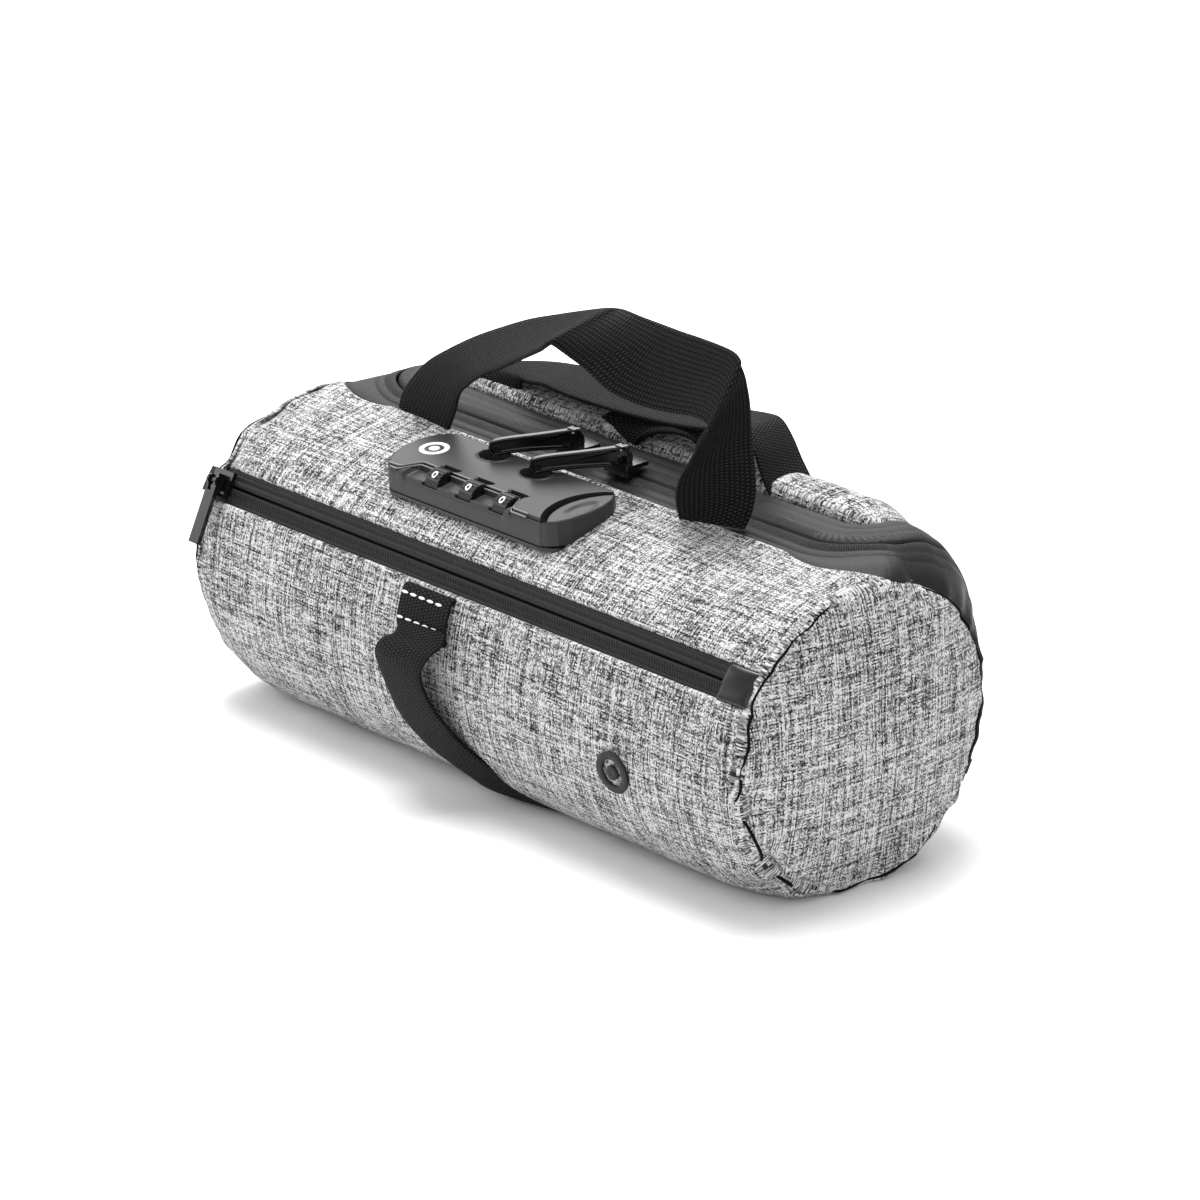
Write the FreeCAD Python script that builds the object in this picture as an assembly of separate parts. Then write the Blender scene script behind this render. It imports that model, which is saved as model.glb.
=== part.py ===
import FreeCAD, Part
import os, math
V = FreeCAD.Vector

# ---------------- driving dimensions, mm ----------------
BAG_LENGTH = 254.0          # rim to rim of the two end panels
BAG_HEIGHT = 100.0          # floor to the top of the bulged lid
BAG_DEPTH = 113.0           # front to back at mid-length
RIM_HALF_DEPTH = 52.4       # end panel, half of its front-to-back width
AXIS_H = 48.0               # height of the rim's centre
PAD = 6.0                   # padded wall
LINING = 0.8
TAPE_T = 1.6                # coated zip tape
TAPE_HALF = 14.5            # one half of the main zip, width
SLIT = 0.7                  # gap between the two zip halves
DOME = 5.4                  # how far an end panel bulges
A_TOP0, A_SLIT, A_TOP1 = 87.0, 103.0, 119.0     # top zip: front edge, slit, rear edge (degrees)
A_HINGE = 212.0             # fold line that the lid turns on
A_POC0, A_POC1 = 24.0, 35.0 # front pocket zip band
WEB_W, WEB_T = 25.0, 2.0    # handle webbing
LOCK_L, LOCK_W, LOCK_H = 86.0, 31.0, 10.0
LOCK_TILT = 5.0
LOCK_POS = (-14.0, -18.9, 87.2)                 # middle of the lock's underside
DIAL_R, DIAL_W, DIAL_PITCH = 4.6, 6.0, 15.6
AXLE_R = 1.1
RUN = 0.06                  # running clearance, radial
SLIDERS_X = (-12.0, 10.0)
PULL_REACH = (24.5, 26.5)
DROP = 5.8                  # how far a pull's tip lies below its pivot

KY, KZ, KX = BAG_DEPTH / 113.0, BAG_HEIGHT / 100.0, BAG_LENGTH / 254.0
HL = BAG_LENGTH / 2.0
os.makedirs("parts", exist_ok=True)


def save(name, shape):
    bad = [s for s in shape.Solids if not s.isValid()]
    print(name, len(shape.Solids), "BAD" if bad or not shape.Solids else "ok", round(shape.Volume, 1))
    shape.exportStep("parts/%s.step" % name)
    return shape


# ---------------- cross-section ----------------
# the middle of the bag: soft tube, flat underneath, lid bulging up and back
MID = [(0, -1.5), (-22, -1.2), (-38, 6.6), (-48, 21), (-52.4, 38), (-52.4, 50), (-50, 62), (-45.5, 72), (-38, 82),
       (-30, 87.3), (-18, 91), (-3, 94), (12, 97.5), (26, 99.6), (39, 98.6), (50, 92.2), (57.6, 80),
       (60.6, 65), (59.6, 48), (55.5, 31), (47, 15), (37, 4.6), (25, -1.0)]
curve = Part.BSplineCurve()
curve.interpolate([V(0, y * KY, z * KZ) for y, z in MID], PeriodicFlag=True)
TABLE = sorted((math.degrees(math.atan2(p.z - AXIS_H, -p.y)) % 360.0, math.hypot(p.y, p.z - AXIS_H))
               for p in curve.toShape().discretize(1441)[:-1])


def r_mid(a):
    a %= 360.0
    lo = [t for t in TABLE if t[0] <= a]
    a0, r0 = lo[-1] if lo else (TABLE[-1][0] - 360.0, TABLE[-1][1])
    hi = TABLE[len(lo)] if len(lo) < len(TABLE) else (TABLE[0][0] + 360.0, TABLE[0][1])
    return r0 + (hi[1] - r0) * (a - a0) / max(hi[0] - a0, 1e-9)


def r_end(a):
    c, s = math.cos(math.radians(a)), math.sin(math.radians(a))
    return 1.0 / math.hypot(c / (RIM_HALF_DEPTH * KY), s / (50.0 * KZ if s < 0 else 48.0 * KZ))


def point(x, a, off=0.0):
    """A point of the wall: x along the bag, a round it in degrees from the front, off outwards."""
    t = min(max((abs(x) - 0.76 * HL) / (0.24 * HL), 0.0), 1.0)
    w = t ** 2.2
    r = r_mid(a) * (1 - w) + r_end(a) * w
    c, s = math.cos(math.radians(a)), math.sin(math.radians(a))
    return V(x, -(r + off) * c, AXIS_H + (r + off) * s)


def stations(x0, x1):
    cut = [-HL, -0.93 * HL, -0.85 * HL, -0.76 * HL, 0.76 * HL, 0.85 * HL, 0.93 * HL, HL]
    return [x0] + [c for c in cut if x0 + 0.5 < c < x1 - 0.5] + [x1]


def sector(x0, x1, a0, a1, out, inn):
    """A curved strip of wall, made by joining its cross-sections along X."""
    n = max(2, int((a1 - a0) / 6.0) + 1)
    wires = []
    for x in stations(x0, x1):
        po = [point(x, a0 + (a1 - a0) * i / n, out) for i in range(n + 1)]
        pi = [point(x, a0 + (a1 - a0) * i / n, inn) for i in range(n + 1)][::-1]
        o, i = Part.BSplineCurve(), Part.BSplineCurve()
        o.interpolate(po)
        i.interpolate(pi)
        wires.append(Part.Wire([o.toShape(), Part.makeLine(po[-1], pi[0]), i.toShape(),
                                Part.makeLine(pi[-1], po[0])]))
    return Part.makeLoft(wires, True, True)


FLOOR = Part.makeBox(400, 200, 20, V(-200, -100, -20))   # everything under the bag is pressed flat


def group(shapes):
    return Part.makeCompound(shapes)


def turn(shape, x=0.0):
    """From the lock's own axes to where it sits on the bag."""
    s = shape.copy()
    s.rotate(V(0, 0, 0), V(1, 0, 0), LOCK_TILT)
    s.translate(V(*LOCK_POS) + V(x, 0, 0))
    return s


def slab(x0, x1, y0, y1, z0, z1, r=0.0, both=True):
    b = Part.makeBox(x1 - x0, y1 - y0, z1 - z0, V(x0, y0, z0))
    if r > 0:
        ed = [e for e in b.Edges if abs(e.Vertexes[0].X - e.Vertexes[1].X) < 1e-6
              and abs(e.Vertexes[0].Y - e.Vertexes[1].Y) < 1e-6 and (both or e.Vertexes[0].X < (x0 + x1) / 2)]
        b = b.makeFillet(r, ed)
    return b


def band(rows, thick):
    """Webbing: each row is one edge point and the other edge point; thickness is square to both."""
    wires = []
    for k, (a, b) in enumerate(rows):
        a, b = V(*a), V(*b)
        p, q = rows[max(k - 1, 0)], rows[min(k + 1, len(rows) - 1)]
        along = (V(*q[0]) + V(*q[1]) - V(*p[0]) - V(*p[1]))
        n = along.cross(b - a)
        n.normalize()
        n = n * (thick / 2.0)
        wires.append(Part.makePolygon([a + n, b + n, b - n, a - n, a + n]))
    return Part.makeLoft(wires, True, True)


# ---------------- padded panels ----------------
E0 = HL - 1.0                                   # where the wall stops and the end panel starts
XS = HL - 14.5 * KX                             # slit between the zip halves on the end strips
XL = XS - TAPE_HALF + 0.5                       # edge of the lid panel
lx, ly, lz = LOCK_POS
seat = turn(slab(-LOCK_L / 2 - 0.5, LOCK_L / 2 + 0.5, -LOCK_W / 2 - 0.5, LOCK_W / 2 + 0.5, -0.4, 30, 6))
upper = sector(-E0, E0, A_POC1, A_TOP0, 0, -PAD).cut(seat)
save("upper_front_panel", upper)
groove = Part.makeBox(32, 92, 2.8, V(3, -46, -0.1)).fuse(Part.makeBox(12, 24, 2.8, V(-4, -46, -0.1)))
lower = sector(-E0, E0, A_HINGE - 359.3, A_POC0, 0, -PAD).cut(FLOOR).cut(groove)
save("lower_panel", lower)
for side, name in ((1, "right"), (-1, "left")):
    wires = []
    for dx, off in ((0.1, -0.2), (0.42 * DOME, -2.2), (0.72 * DOME, -7.5), (0.92 * DOME, -17), (DOME, -30)):
        pts = [point(HL, a, off) for a in range(0, 360, 12)]
        for p in pts:
            p.x = side * (E0 + dx)
        c = Part.BSplineCurve()
        c.interpolate(pts, PeriodicFlag=True)
        wires.append(Part.Wire([c.toShape()]))
    save("%s_end_panel" % name, Part.makeLoft(wires, True, True).cut(FLOOR))
save("lid_panel", sector(-XL, XL, A_TOP1, A_HINGE, 0, -PAD))
save("body_lining", sector(-E0 + 1, E0 - 1, A_HINGE - 359.0, A_TOP0, -PAD - 4.2, -PAD - 4.2 - LINING))
save("lid_lining", sector(-XL + 0.5, XL - 0.5, A_TOP1 + 1, A_HINGE - 1, -PAD - 0.3, -PAD - 0.3 - LINING))

# ---------------- main zip ----------------
G = math.degrees(SLIT / 2 / 52.0)
T0, T1 = -0.2, -0.2 - TAPE_T
save("main_zip_body_tape", group([sector(-E0, E0, A_TOP0, A_SLIT - G, T0, T1)] + [
    sector(*sorted((s * (XS + SLIT / 2), s * E0)), A_SLIT - G + 0.05, A_HINGE, T0, T1) for s in (1, -1)]))
save("main_zip_lid_tape", group([sector(-XS + SLIT / 2, XS - SLIT / 2, A_SLIT + G, A_TOP1, T0, T1)] + [
    sector(*sorted((s * XL, s * (XS - SLIT / 2))), A_TOP1 + 0.05, A_HINGE - 0.2, T0, T1) for s in (1, -1)]))
C0, C1 = T1 - 0.1, T1 - 1.7
save("main_zip_body_coil", group([sector(-XS, XS, A_SLIT - G - 2.2, A_SLIT - G, C0, C1)] + [
    sector(*sorted((s * (XS + SLIT / 2), s * (XS + SLIT / 2 + 2))), A_SLIT + 1, A_HINGE - 4, C0, C1)
    for s in (1, -1)]))
save("main_zip_lid_coil", group([sector(-XS + 3, XS - 3, A_SLIT + G, A_SLIT + G + 2.2, C0, C1)] + [
    sector(*sorted((s * (XS - SLIT / 2 - 2), s * (XS - SLIT / 2))), A_SLIT + 4, A_HINGE - 4, C0, C1)
    for s in (1, -1)]))
for s, n in ((1, "right"), (-1, "left")):       # end stop sewn across the foot of the zip
    save("main_zip_%s_stop" % n, sector(*sorted((s * (XS + SLIT / 2), s * (XS + 9))), A_HINGE - 8,
                                        A_HINGE - 3, T0 + 1.3, T0 + 0.1))

zs = point(0, A_SLIT).z                         # top of the tape at the slit
ys = point(0, A_SLIT).y
for k, (sx, nm) in enumerate(zip(SLIDERS_X, ("left", "right"))):
    # slider: foot on the bag's own half of the tape, top plate bridging the slit, pivot post
    foot = slab(sx - 5.5, sx + 5.5, ys - 5.4, ys - 0.6, zs + 0.45, zs + 2.6, 1.0)
    plate = slab(sx - 5.5, sx + 5.5, ys - 5.4, ys + 4.6, zs + 2.6, zs + 3.9, 1.5)
    post = slab(sx - 1.6, sx + 1.6, ys - 3.6, ys - 1.6, zs + 3.9, zs + 9.0)
    dirv = V(-0.63, -0.7766, 0)
    side_v = V(0.7766, -0.63, 0)
    pivot = V(sx, ys - 2.6, zs + 7.6)
    pin = Part.makeCylinder(0.9, 7.0, pivot - side_v * 3.5, side_v)
    save("main_slider_%s" % nm, foot.fuse([plate, post, pin]))
    # pull: stadium plate on edge, an eye at each end, raised rim
    R = PULL_REACH[k]
    ear = []
    for sgn in (1, -1):                         # two cheeks, either side of the post
        c = Part.makeCylinder(2.4, 0.8, V(0, sgn * 2.3 - 0.4, 0), V(0, 1, 0))
        ear.append(c)
    outline = [(5.5, -3.0), (5.5, 3.2), (R, 2.6), (R + 0.5, 0), (R - 2.4, -1.0), (5.5, -3.0)]
    arm = Part.Face(Part.makePolygon([V(s, -0.9, h) for s, h in outline])).extrude(V(0, 1.8, 0))
    tip = Part.makeCylinder(2.6, 1.8, V(R, -0.9, 0), V(0, 1, 0))
    mid = Part.makeBox(3.2, 5.4, 4.8, V(3.4, -2.7, -2.4))
    cheeks = [Part.makeBox(4.4, 0.8, 4.8, V(0, s2 * 2.3 - 0.4, -2.4)) for s2 in (1, -1)]
    pull = arm.fuse([tip, mid] + ear + cheeks)
    pull = pull.cut(Part.makeCylinder(0.9 + RUN, 12, V(0, -6, 0), V(0, 1, 0)))
    pull = pull.cut(Part.makeCylinder(1.4, 12, V(R, -6, 0), V(0, 1, 0)))
    drop = math.degrees(math.asin(DROP / R))
    pull.rotate(V(0, 0, 0), V(0, 1, 0), drop)
    pull.rotate(V(0, 0, 0), V(0, 0, 1), math.degrees(math.atan2(dirv.y, dirv.x)))
    pull.translate(pivot)
    save("main_pull_%s" % nm, pull)
    tipc = pivot + dirv * (R * math.cos(math.radians(drop))) - V(0, 0, DROP)
    print("  pull", nm, "pivot", [round(c, 2) for c in pivot], "tip", [round(c, 2) for c in tipc])

# ---------------- front pocket ----------------
AM = (A_POC0 + A_POC1) / 2
save("pocket_zip_lower_tape", sector(-E0, E0, A_POC0, AM - 0.3, T0, T1))
save("pocket_zip_upper_tape", sector(-E0, E0, AM + 0.3, A_POC1, T0, T1))
save("pocket_zip_lower_coil", sector(-E0 + 6, E0 - 8, AM - 2.2, AM - 0.3, C0, C1))
save("pocket_zip_upper_coil", sector(-E0 + 6, E0 - 8, AM + 0.3, AM + 2.2, C0, C1))
save("pocket_zip_end_patch", sector(E0 - 12, E0 - 0.5, A_POC0 - 1, A_POC1 + 1, 1.2, 0.1))
save("pocket_zip_stop", sector(-E0 + 0.5, -E0 + 2.5, A_POC0 + 1, A_POC1 - 1, 1.0, 0.1))
pouch = sector(-E0 + 12, E0 - 12, -22, 52, -PAD - 0.3, -PAD - 3.9)
pouch = pouch.cut(sector(-E0 + 13, E0 - 13, -21, 51, -PAD - 1.1, -PAD - 3.1))
pouch = pouch.cut(sector(-E0 + 16, E0 - 16, AM - 3, AM + 3, 2, -PAD - 2))
save("pocket_pouch", pouch)
px = -E0 + 8.5
pa = point(px, AM)
nrm = V(0, -math.cos(math.radians(AM)), math.sin(math.radians(AM)))
tng = V(0, math.sin(math.radians(AM)), math.cos(math.radians(AM)))


def on_pocket(x0, x1, t0, t1, n0, n1):
    """A block in the pocket zip's own axes: along X, up the tape, out of it."""
    b = Part.makeBox(x1 - x0, t1 - t0, n1 - n0, V(x0, t0, n0))
    b.rotate(V(0, 0, 0), V(1, 0, 0), 90 - AM)
    b.translate(V(0, pa.y, pa.z))
    return b


s1 = on_pocket(px - 4.5, px + 4.5, -4.2, 4.2, 0.5, 2.0)
s2 = on_pocket(px - 1.0, px + 1.0, -2.6, 2.6, 2.0, 4.6)
pp = V(px, pa.y, pa.z) + nrm * 4.6
s3 = Part.makeCylinder(0.8, 5.0, pp - V(2.5, 0, 0), V(1, 0, 0))
save("pocket_slider", s1.fuse([s2, s3]))
hang = V(0, -0.42, -0.907)
hang.normalize()
pl = Part.makeBox(4.4, 1.6, 17.6, V(-2.2, -0.8, -21.0))
for sx in (-1, 1):
    pl = pl.fuse(Part.makeBox(0.8, 1.6, 4.6, V(sx * 1.8 - 0.4, -0.8, -4.6)))
    pl = pl.fuse(Part.makeCylinder(1.7, 0.8, V(sx * 1.8 - 0.4, 0, 0), V(1, 0, 0)))
pl = pl.cut(Part.makeCylinder(0.8 + RUN, 20, V(-10, 0, 0), V(1, 0, 0)))
pl.rotate(V(0, 0, 0), V(1, 0, 0), -math.degrees(math.atan2(-hang.y, -hang.z)))
pl.translate(pp)
save("pocket_pull", pl)
print("  pocket pivot", [round(c, 2) for c in pp])

# ---------------- handles ----------------
yf = point(0, A_TOP0 + 1).y
zf = point(0, A_TOP0 + 1).z + 1.0
FRONT = [((-88, 0, 0.1), (-63, 0, 0.1)), ((-84.5, -0.4, 9), (-60, -1.2, 7)), ((-76, -1, 20), (-54, -4.5, 16)),
         ((-60, -1.4, 30), (-41, -8, 25)), ((-38, -1.8, 41), (-23, -10, 33)), ((-14, -1.8, 49), (-1, -11, 39)),
         ((8, -1.8, 54), (13, -10.5, 41.5)), ((30, -1.8, 57.5), (27, -8.5, 41)), ((52, -1.6, 58), (43, -6, 37)),
         ((66, -1.2, 54), (52, -4.5, 31)), ((74, -0.6, 42), (52.5, -3, 24)), ((75.5, -0.3, 24), (50, -1.5, 14)),
         ((74, 0, 9), (49, -0.6, 7)), ((73, 0, 0.1), (48, 0, 0.1))]
FRONT = [((a[0] * KX, a[1] + yf, a[2] + zf), (b[0] * KX, b[1] + yf, b[2] + zf)) for a, b in FRONT]
save("front_handle", band(FRONT, WEB_T))
pr = point(0, A_TOP1 + 2)
REAR = [((-86, 0, 0.1), (-61, 0, 0.1)), ((-86, 0, 6), (-61, 2, 5.5)), ((-76, 1, 12), (-59, 10, 8)),
        ((-54, 3, 15), (-46, 18, 8)), ((-28, 4, 16), (-24, 21, 7)), ((0, 4, 16), (0, 21, 6.5)),
        ((28, 4, 17), (24, 20, 7)), ((52, 3, 19), (42, 16, 10)), ((68, 2, 15), (47, 8, 9)),
        ((74, 0, 7), (48, 2, 5.5)), ((73, 0, 0.1), (48, 0, 0.1))]
REAR = [((a[0] * KX, a[1] + pr.y, a[2] + pr.z + 0.4), (b[0] * KX, b[1] + pr.y, b[2] + pr.z + 0.4))
        for a, b in REAR]
save("rear_handle", band(REAR, WEB_T))
LOOP = [((-26, -2, 0.1), (-4, -2, 0.1)), ((-25, -2.4, 5), (-4, -1, 5)), ((-17, -5, 9), (-2, 1, 9)),
        ((2, -7, 10.5), (3, 2.5, 11)), ((20, -5, 9), (8, 1, 9)), ((30, -2.4, 5), (9, -1, 5)),
        ((31, -2, 0.1), (9, -2, 0.1))]
LOOP = [((a[0], a[1] + pr.y, a[2] + pr.z + 0.4), (b[0], b[1] + pr.y, b[2] + pr.z + 0.4)) for a, b in LOOP]
save("rear_loop", band(LOOP, 1.8))
hp = point(0, A_HINGE + 0.35)
print("  front handle hinge", round(yf, 3), round(zf, 3), " rear", round(pr.y, 3), round(pr.z, 3),
      " lid", round(hp.y, 3), round(hp.z, 3))

# ---------------- lash strap and patches ----------------
save("lash_tab_front", sector(-23.5, 0.5, 8.5, 20.5, 3.0, 0.15))
STRAP = [((-23, -54.5, 56), (-1, -54.5, 56)), ((-28, -56.5, 50), (-6, -57.5, 50)), ((-31, -57.5, 42), (-10, -60.5, 44)),
         ((-29, -57, 33), (-10, -62, 37)), ((-23, -54.5, 22), (-6, -59.5, 27)), ((-14, -49, 12), (3, -52, 17)),
         ((-5, -43, 5), (14, -43, 8.4)), ((1, -36, 1.2), (22, -35, 2.2)), ((5, -27, 1.2), (28, -27, 1.2)),
         ((6, 0, 1.0), (30, 0, 1.0)), ((6, 30, 1.0), (30, 30, 1.0)), ((6, 42, 2.2), (30, 42, 2.2)),
         ((6, 49, 10.5), (30, 49, 10.5))]
save("lash_strap", band(STRAP, 1.5))
save("lash_tab_rear", sector(5.5, 30.5, 217, 221.5, 2.6, 0.15))
pe = point(74, -14)
save("emblem_patch", sector(64, 86, -22, -6, 0.7, 0.1))

# ---------------- combination lock ----------------
hl, hw, top = LOCK_L / 2, LOCK_W / 2, LOCK_H
BTN = 11.0                                      # length of the button end
base = slab(-hl + 0.6, hl - 0.6, -hw + 0.6, hw - 0.6, 0, 1.2, 5)
posts = [(-hl + 7, hw - 6), (-hl + 7, -hw + 9), (hl - BTN - 7, hw - 5)]
save("lock_base_plate", turn(base))
shell = slab(-hl, hl, -hw, hw, 1.25, top, 6)
edges = [e for e in shell.Edges if min(v.Z for v in e.Vertexes) > top - 0.01]
shell = shell.makeChamfer(1.6, edges)
cav = slab(-hl + 2.2, hl - BTN - 2.6, -hw + 2.0, hw - 2.0, 1.2, top - 1.8, 3)
shell = shell.cut(cav).cut(slab(hl - BTN, hl + 1, -hw - 1, hw + 1, 1.2, top + 1))
DV, DW = -hw + 5.6, 6.3                         # dial axis in the lock's own axes
for k in (-1, 0, 1):
    shell = shell.cut(slab(k * DIAL_PITCH - DIAL_W / 2 - 0.4, k * DIAL_PITCH + DIAL_W / 2 + 0.4,
                           -hw - 1, DV + 4.4, 2.4, top + 1))
SLOT = []
for k, nm in enumerate(("left", "right")):
    R = PULL_REACH[k]
    ca = math.cos(math.asin(DROP / R))
    tx = SLIDERS_X[k] - 0.63 * R * ca - lx
    tv = (ys - 2.6 - 0.7766 * R * ca - ly)
    SLOT.append((tx, tv))
    shell = shell.cut(slab(tx - 4.6, tx + 4.6, tv - 3.9, tv + 3.9, 2.0, top + 1, 1.5))
shell = shell.cut(slab(hl - BTN - 3.2, hl - BTN + 1, -5, 5, 3.0, top - 3.0))
save("lock_housing", turn(shell))
print("  slots", SLOT, "tops", top)
btn = slab(hl - BTN + 2.9, hl, -hw + 0.4, hw - 0.4, 1.6, top - 0.4, 4, True)
btn = btn.makeChamfer(1.2, [e for e in btn.Edges if min(v.Z for v in e.Vertexes) > top - 0.41])
save("lock_button", turn(btn))
BARV = (SLOT[0][1] + SLOT[1][1]) / 2
bar = slab(-26, hl - BTN + 2.9, BARV - 7.6, BARV - 5.2, 3.4, 5.6)
for tx, tv in SLOT:
    bar = bar.fuse(slab(tx - 9.0, tx - 6.8, BARV - 5.3, BARV + 1.0, 3.4, 5.6))
    bar = bar.fuse(slab(tx - 9.0, tx - 4.9, BARV - 0.6, BARV + 1.0, 3.4, 5.6))
save("lock_latch_bar", turn(bar))
for k, nm in zip((-1, 0, 1), ("left", "middle", "right")):
    d = Part.makeCylinder(DIAL_R, DIAL_W, V(k * DIAL_PITCH - DIAL_W / 2, DV, DW), V(1, 0, 0))
    for i in range(20):
        a = math.radians(18 * i + 9)
        d = d.cut(Part.makeCylinder(0.35, DIAL_W + 1, V(k * DIAL_PITCH - DIAL_W / 2 - 0.5,
                  DV + DIAL_R * math.cos(a), DW + DIAL_R * math.sin(a)), V(1, 0, 0)))
    d = d.cut(Part.makeCylinder(AXLE_R + RUN, 20, V(k * DIAL_PITCH - 10, DV, DW), V(1, 0, 0)))
    save("lock_dial_%s" % nm, turn(d))
save("lock_dial_axle", turn(Part.makeCylinder(AXLE_R, 2 * DIAL_PITCH + 14, V(-DIAL_PITCH - 7, DV, DW), V(1, 0, 0))))
dz = FreeCAD.Vector(0, DV, DW)
rot = FreeCAD.Rotation(V(1, 0, 0), LOCK_TILT)
print("  dial axis", [round(c, 3) for c in (rot.multVec(dz) + V(*LOCK_POS))])
save("lock_inlay", turn(Part.makeCylinder(4.5, 0.3, V(-29, 0.5, top + 0.02), V(0, 0, 1))))
for i, (u, v) in enumerate(posts):
    sc = Part.makeCylinder(1.2, 5.0, V(u, v, 1.3), V(0, 0, 1))
    save("lock_screw_%d" % (i + 1), turn(sc))
spring = Part.makeCylinder(1.6, 8.0, V(12, hw - 4.2, 3.4), V(1, 0, 0)).cut(
    Part.makeCylinder(1.1, 9.0, V(11.5, hw - 4.2, 3.4), V(1, 0, 0)))
save("lock_return_spring", turn(spring))
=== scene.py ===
import bpy
import math
import numpy as np
from mathutils import Matrix, Vector


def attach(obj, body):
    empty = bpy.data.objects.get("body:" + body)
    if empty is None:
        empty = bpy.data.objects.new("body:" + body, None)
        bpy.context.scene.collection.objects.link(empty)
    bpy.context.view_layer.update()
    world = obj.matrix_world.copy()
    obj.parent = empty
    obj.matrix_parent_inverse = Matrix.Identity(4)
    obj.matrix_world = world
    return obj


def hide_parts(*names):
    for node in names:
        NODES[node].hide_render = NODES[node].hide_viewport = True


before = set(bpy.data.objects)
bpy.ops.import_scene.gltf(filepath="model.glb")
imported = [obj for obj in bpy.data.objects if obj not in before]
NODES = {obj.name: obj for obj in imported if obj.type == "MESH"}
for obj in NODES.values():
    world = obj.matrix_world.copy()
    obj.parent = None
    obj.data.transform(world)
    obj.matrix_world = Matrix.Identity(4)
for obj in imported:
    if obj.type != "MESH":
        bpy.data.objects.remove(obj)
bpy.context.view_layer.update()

# ------------------------------------------------------------------ sizes, mm
MM = 0.001
HL = 127.0                 # half the length between the end seams
E0 = HL - 1.0              # where the tube's cloth stops
AXIS_H = 48.0              # height of the end panels' centre
RIM_Y = 52.4               # half the depth of an end panel
DOME = 5.4                 # bulge of an end panel
TAPE = 14.5                # width of the main zip from its slit to the lid
TAPE_F = 9.5               # and to the front panel
TAPE_E = 21.0              # and where it turns down over the ends
A_TOP0, A_SLIT, A_TOP1, A_HINGE = 87.0, 103.0, 119.0, 212.0
A_POC, POC_HALF = 29.5, 5.6
XS = HL - 14.5             # slit of the main zip on the end strips
CORNER = 22.0              # radius that the slit turns on
WEAVE = 0.48               # pitch of the heather yarns
ROLL = 1.2                 # radius of a turned cloth edge
MID = [(0, -1.5), (-22, -1.2), (-38, 6.6), (-48, 21), (-52.4, 38), (-52.4, 50), (-50, 62), (-45.5, 72), (-38, 82),
       (-30, 87.3), (-18, 91), (-3, 94), (12, 97.5), (26, 99.6), (39, 98.6), (50, 92.2), (57.6, 80),
       (60.6, 65), (59.6, 48), (55.5, 31), (47, 15), (37, 4.6), (25, -1.0)]


# ------------------------------------------------------------------ small maths
def smooth_loop(points, n):
    """A closed cubic spline through the points, by equal steps of its own parameter."""
    p = np.array(points, float)
    k = len(p)
    a = np.zeros((k, k))
    for i in range(k):
        a[i, i], a[i, (i - 1) % k], a[i, (i + 1) % k] = 4, 1, 1
    m = np.linalg.solve(a, 3 * (np.roll(p, -1, 0) - np.roll(p, 1, 0)))
    t = np.linspace(0, k, n, endpoint=False)
    i = t.astype(int)
    u = (t - i)[:, None]
    j = (i + 1) % k
    return ((2 * u**3 - 3 * u**2 + 1) * p[i] + (u**3 - 2 * u**2 + u) * m[i]
            + (3 * u**2 - 2 * u**3) * p[j] + (u**3 - u**2) * m[j])


def smooth_path(points, n):
    """An open centripetal spline through rows of numbers, n+1 rows, evenly spaced by length."""
    p = np.array(points, float)
    ext = np.vstack([2 * p[0] - p[1], p, 2 * p[-1] - p[-2]])
    out = []
    for k in range(len(p) - 1):
        a, b, c, d = ext[k:k + 4]
        u = np.linspace(0, 1, 24, endpoint=False)[:, None]
        out.append(0.5 * (2 * b + (c - a) * u + (2 * a - 5 * b + 4 * c - d) * u**2 + (3 * b - a - 3 * c + d) * u**3))
    out = np.vstack(out + [p[-1:]])
    s = np.r_[0, np.cumsum(np.linalg.norm(np.diff(out[:, :3], axis=0), axis=1))]
    q = np.linspace(0, s[-1], n + 1)
    return np.stack([np.interp(q, s, out[:, c]) for c in range(out.shape[1])], 1)


def lattice(u, v, seed, period=None):
    """Smooth value noise, -1 to 1, on a unit lattice; period wraps v."""
    rng = np.random.default_rng(seed)
    table = rng.uniform(-1, 1, (256, 256))
    u, v = np.asarray(u, float), np.asarray(v, float)
    i, j = np.floor(u).astype(int), np.floor(v).astype(int)
    fu, fv = u - i, v - j
    fu, fv = fu * fu * (3 - 2 * fu), fv * fv * (3 - 2 * fv)
    w = period or 256

    def at(a, b):
        return table[a % 256, b % w % 256]
    return ((at(i, j) * (1 - fu) + at(i + 1, j) * fu) * (1 - fv)
            + (at(i, j + 1) * (1 - fu) + at(i + 1, j + 1) * fu) * fv)


def step(x, a, b):
    t = np.clip((x - a) / (b - a), 0, 1)
    return t * t * (3 - 2 * t)


# ------------------------------------------------------------------ the soft tube
LOOP = smooth_loop(MID, 2880)
ang = np.degrees(np.arctan2(LOOP[:, 1] - AXIS_H, -LOOP[:, 0])) % 360
order = np.argsort(ang)
ANG, RAD = ang[order], np.hypot(LOOP[:, 0], LOOP[:, 1] - AXIS_H)[order]


def r_mid(a):
    return np.interp(np.asarray(a) % 360, ANG, RAD, period=360)


def r_end(a):
    c, s = np.cos(np.radians(a)), np.sin(np.radians(a))
    return 1 / np.hypot(c / RIM_Y, s / np.where(s < 0, 50.0, 48.0))


ARC_A = np.arange(0, 361)
ARC_S = np.r_[0, np.cumsum(np.hypot(np.diff(r_mid(ARC_A)), np.radians(1) * r_mid(ARC_A[:-1] + 0.5)))]


def arc(a):
    """Length round the middle of the bag, mm, from the front."""
    a = np.asarray(a, float)
    return np.interp(a % 360, ARC_A, ARC_S) + np.floor(a / 360) * ARC_S[-1]


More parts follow.
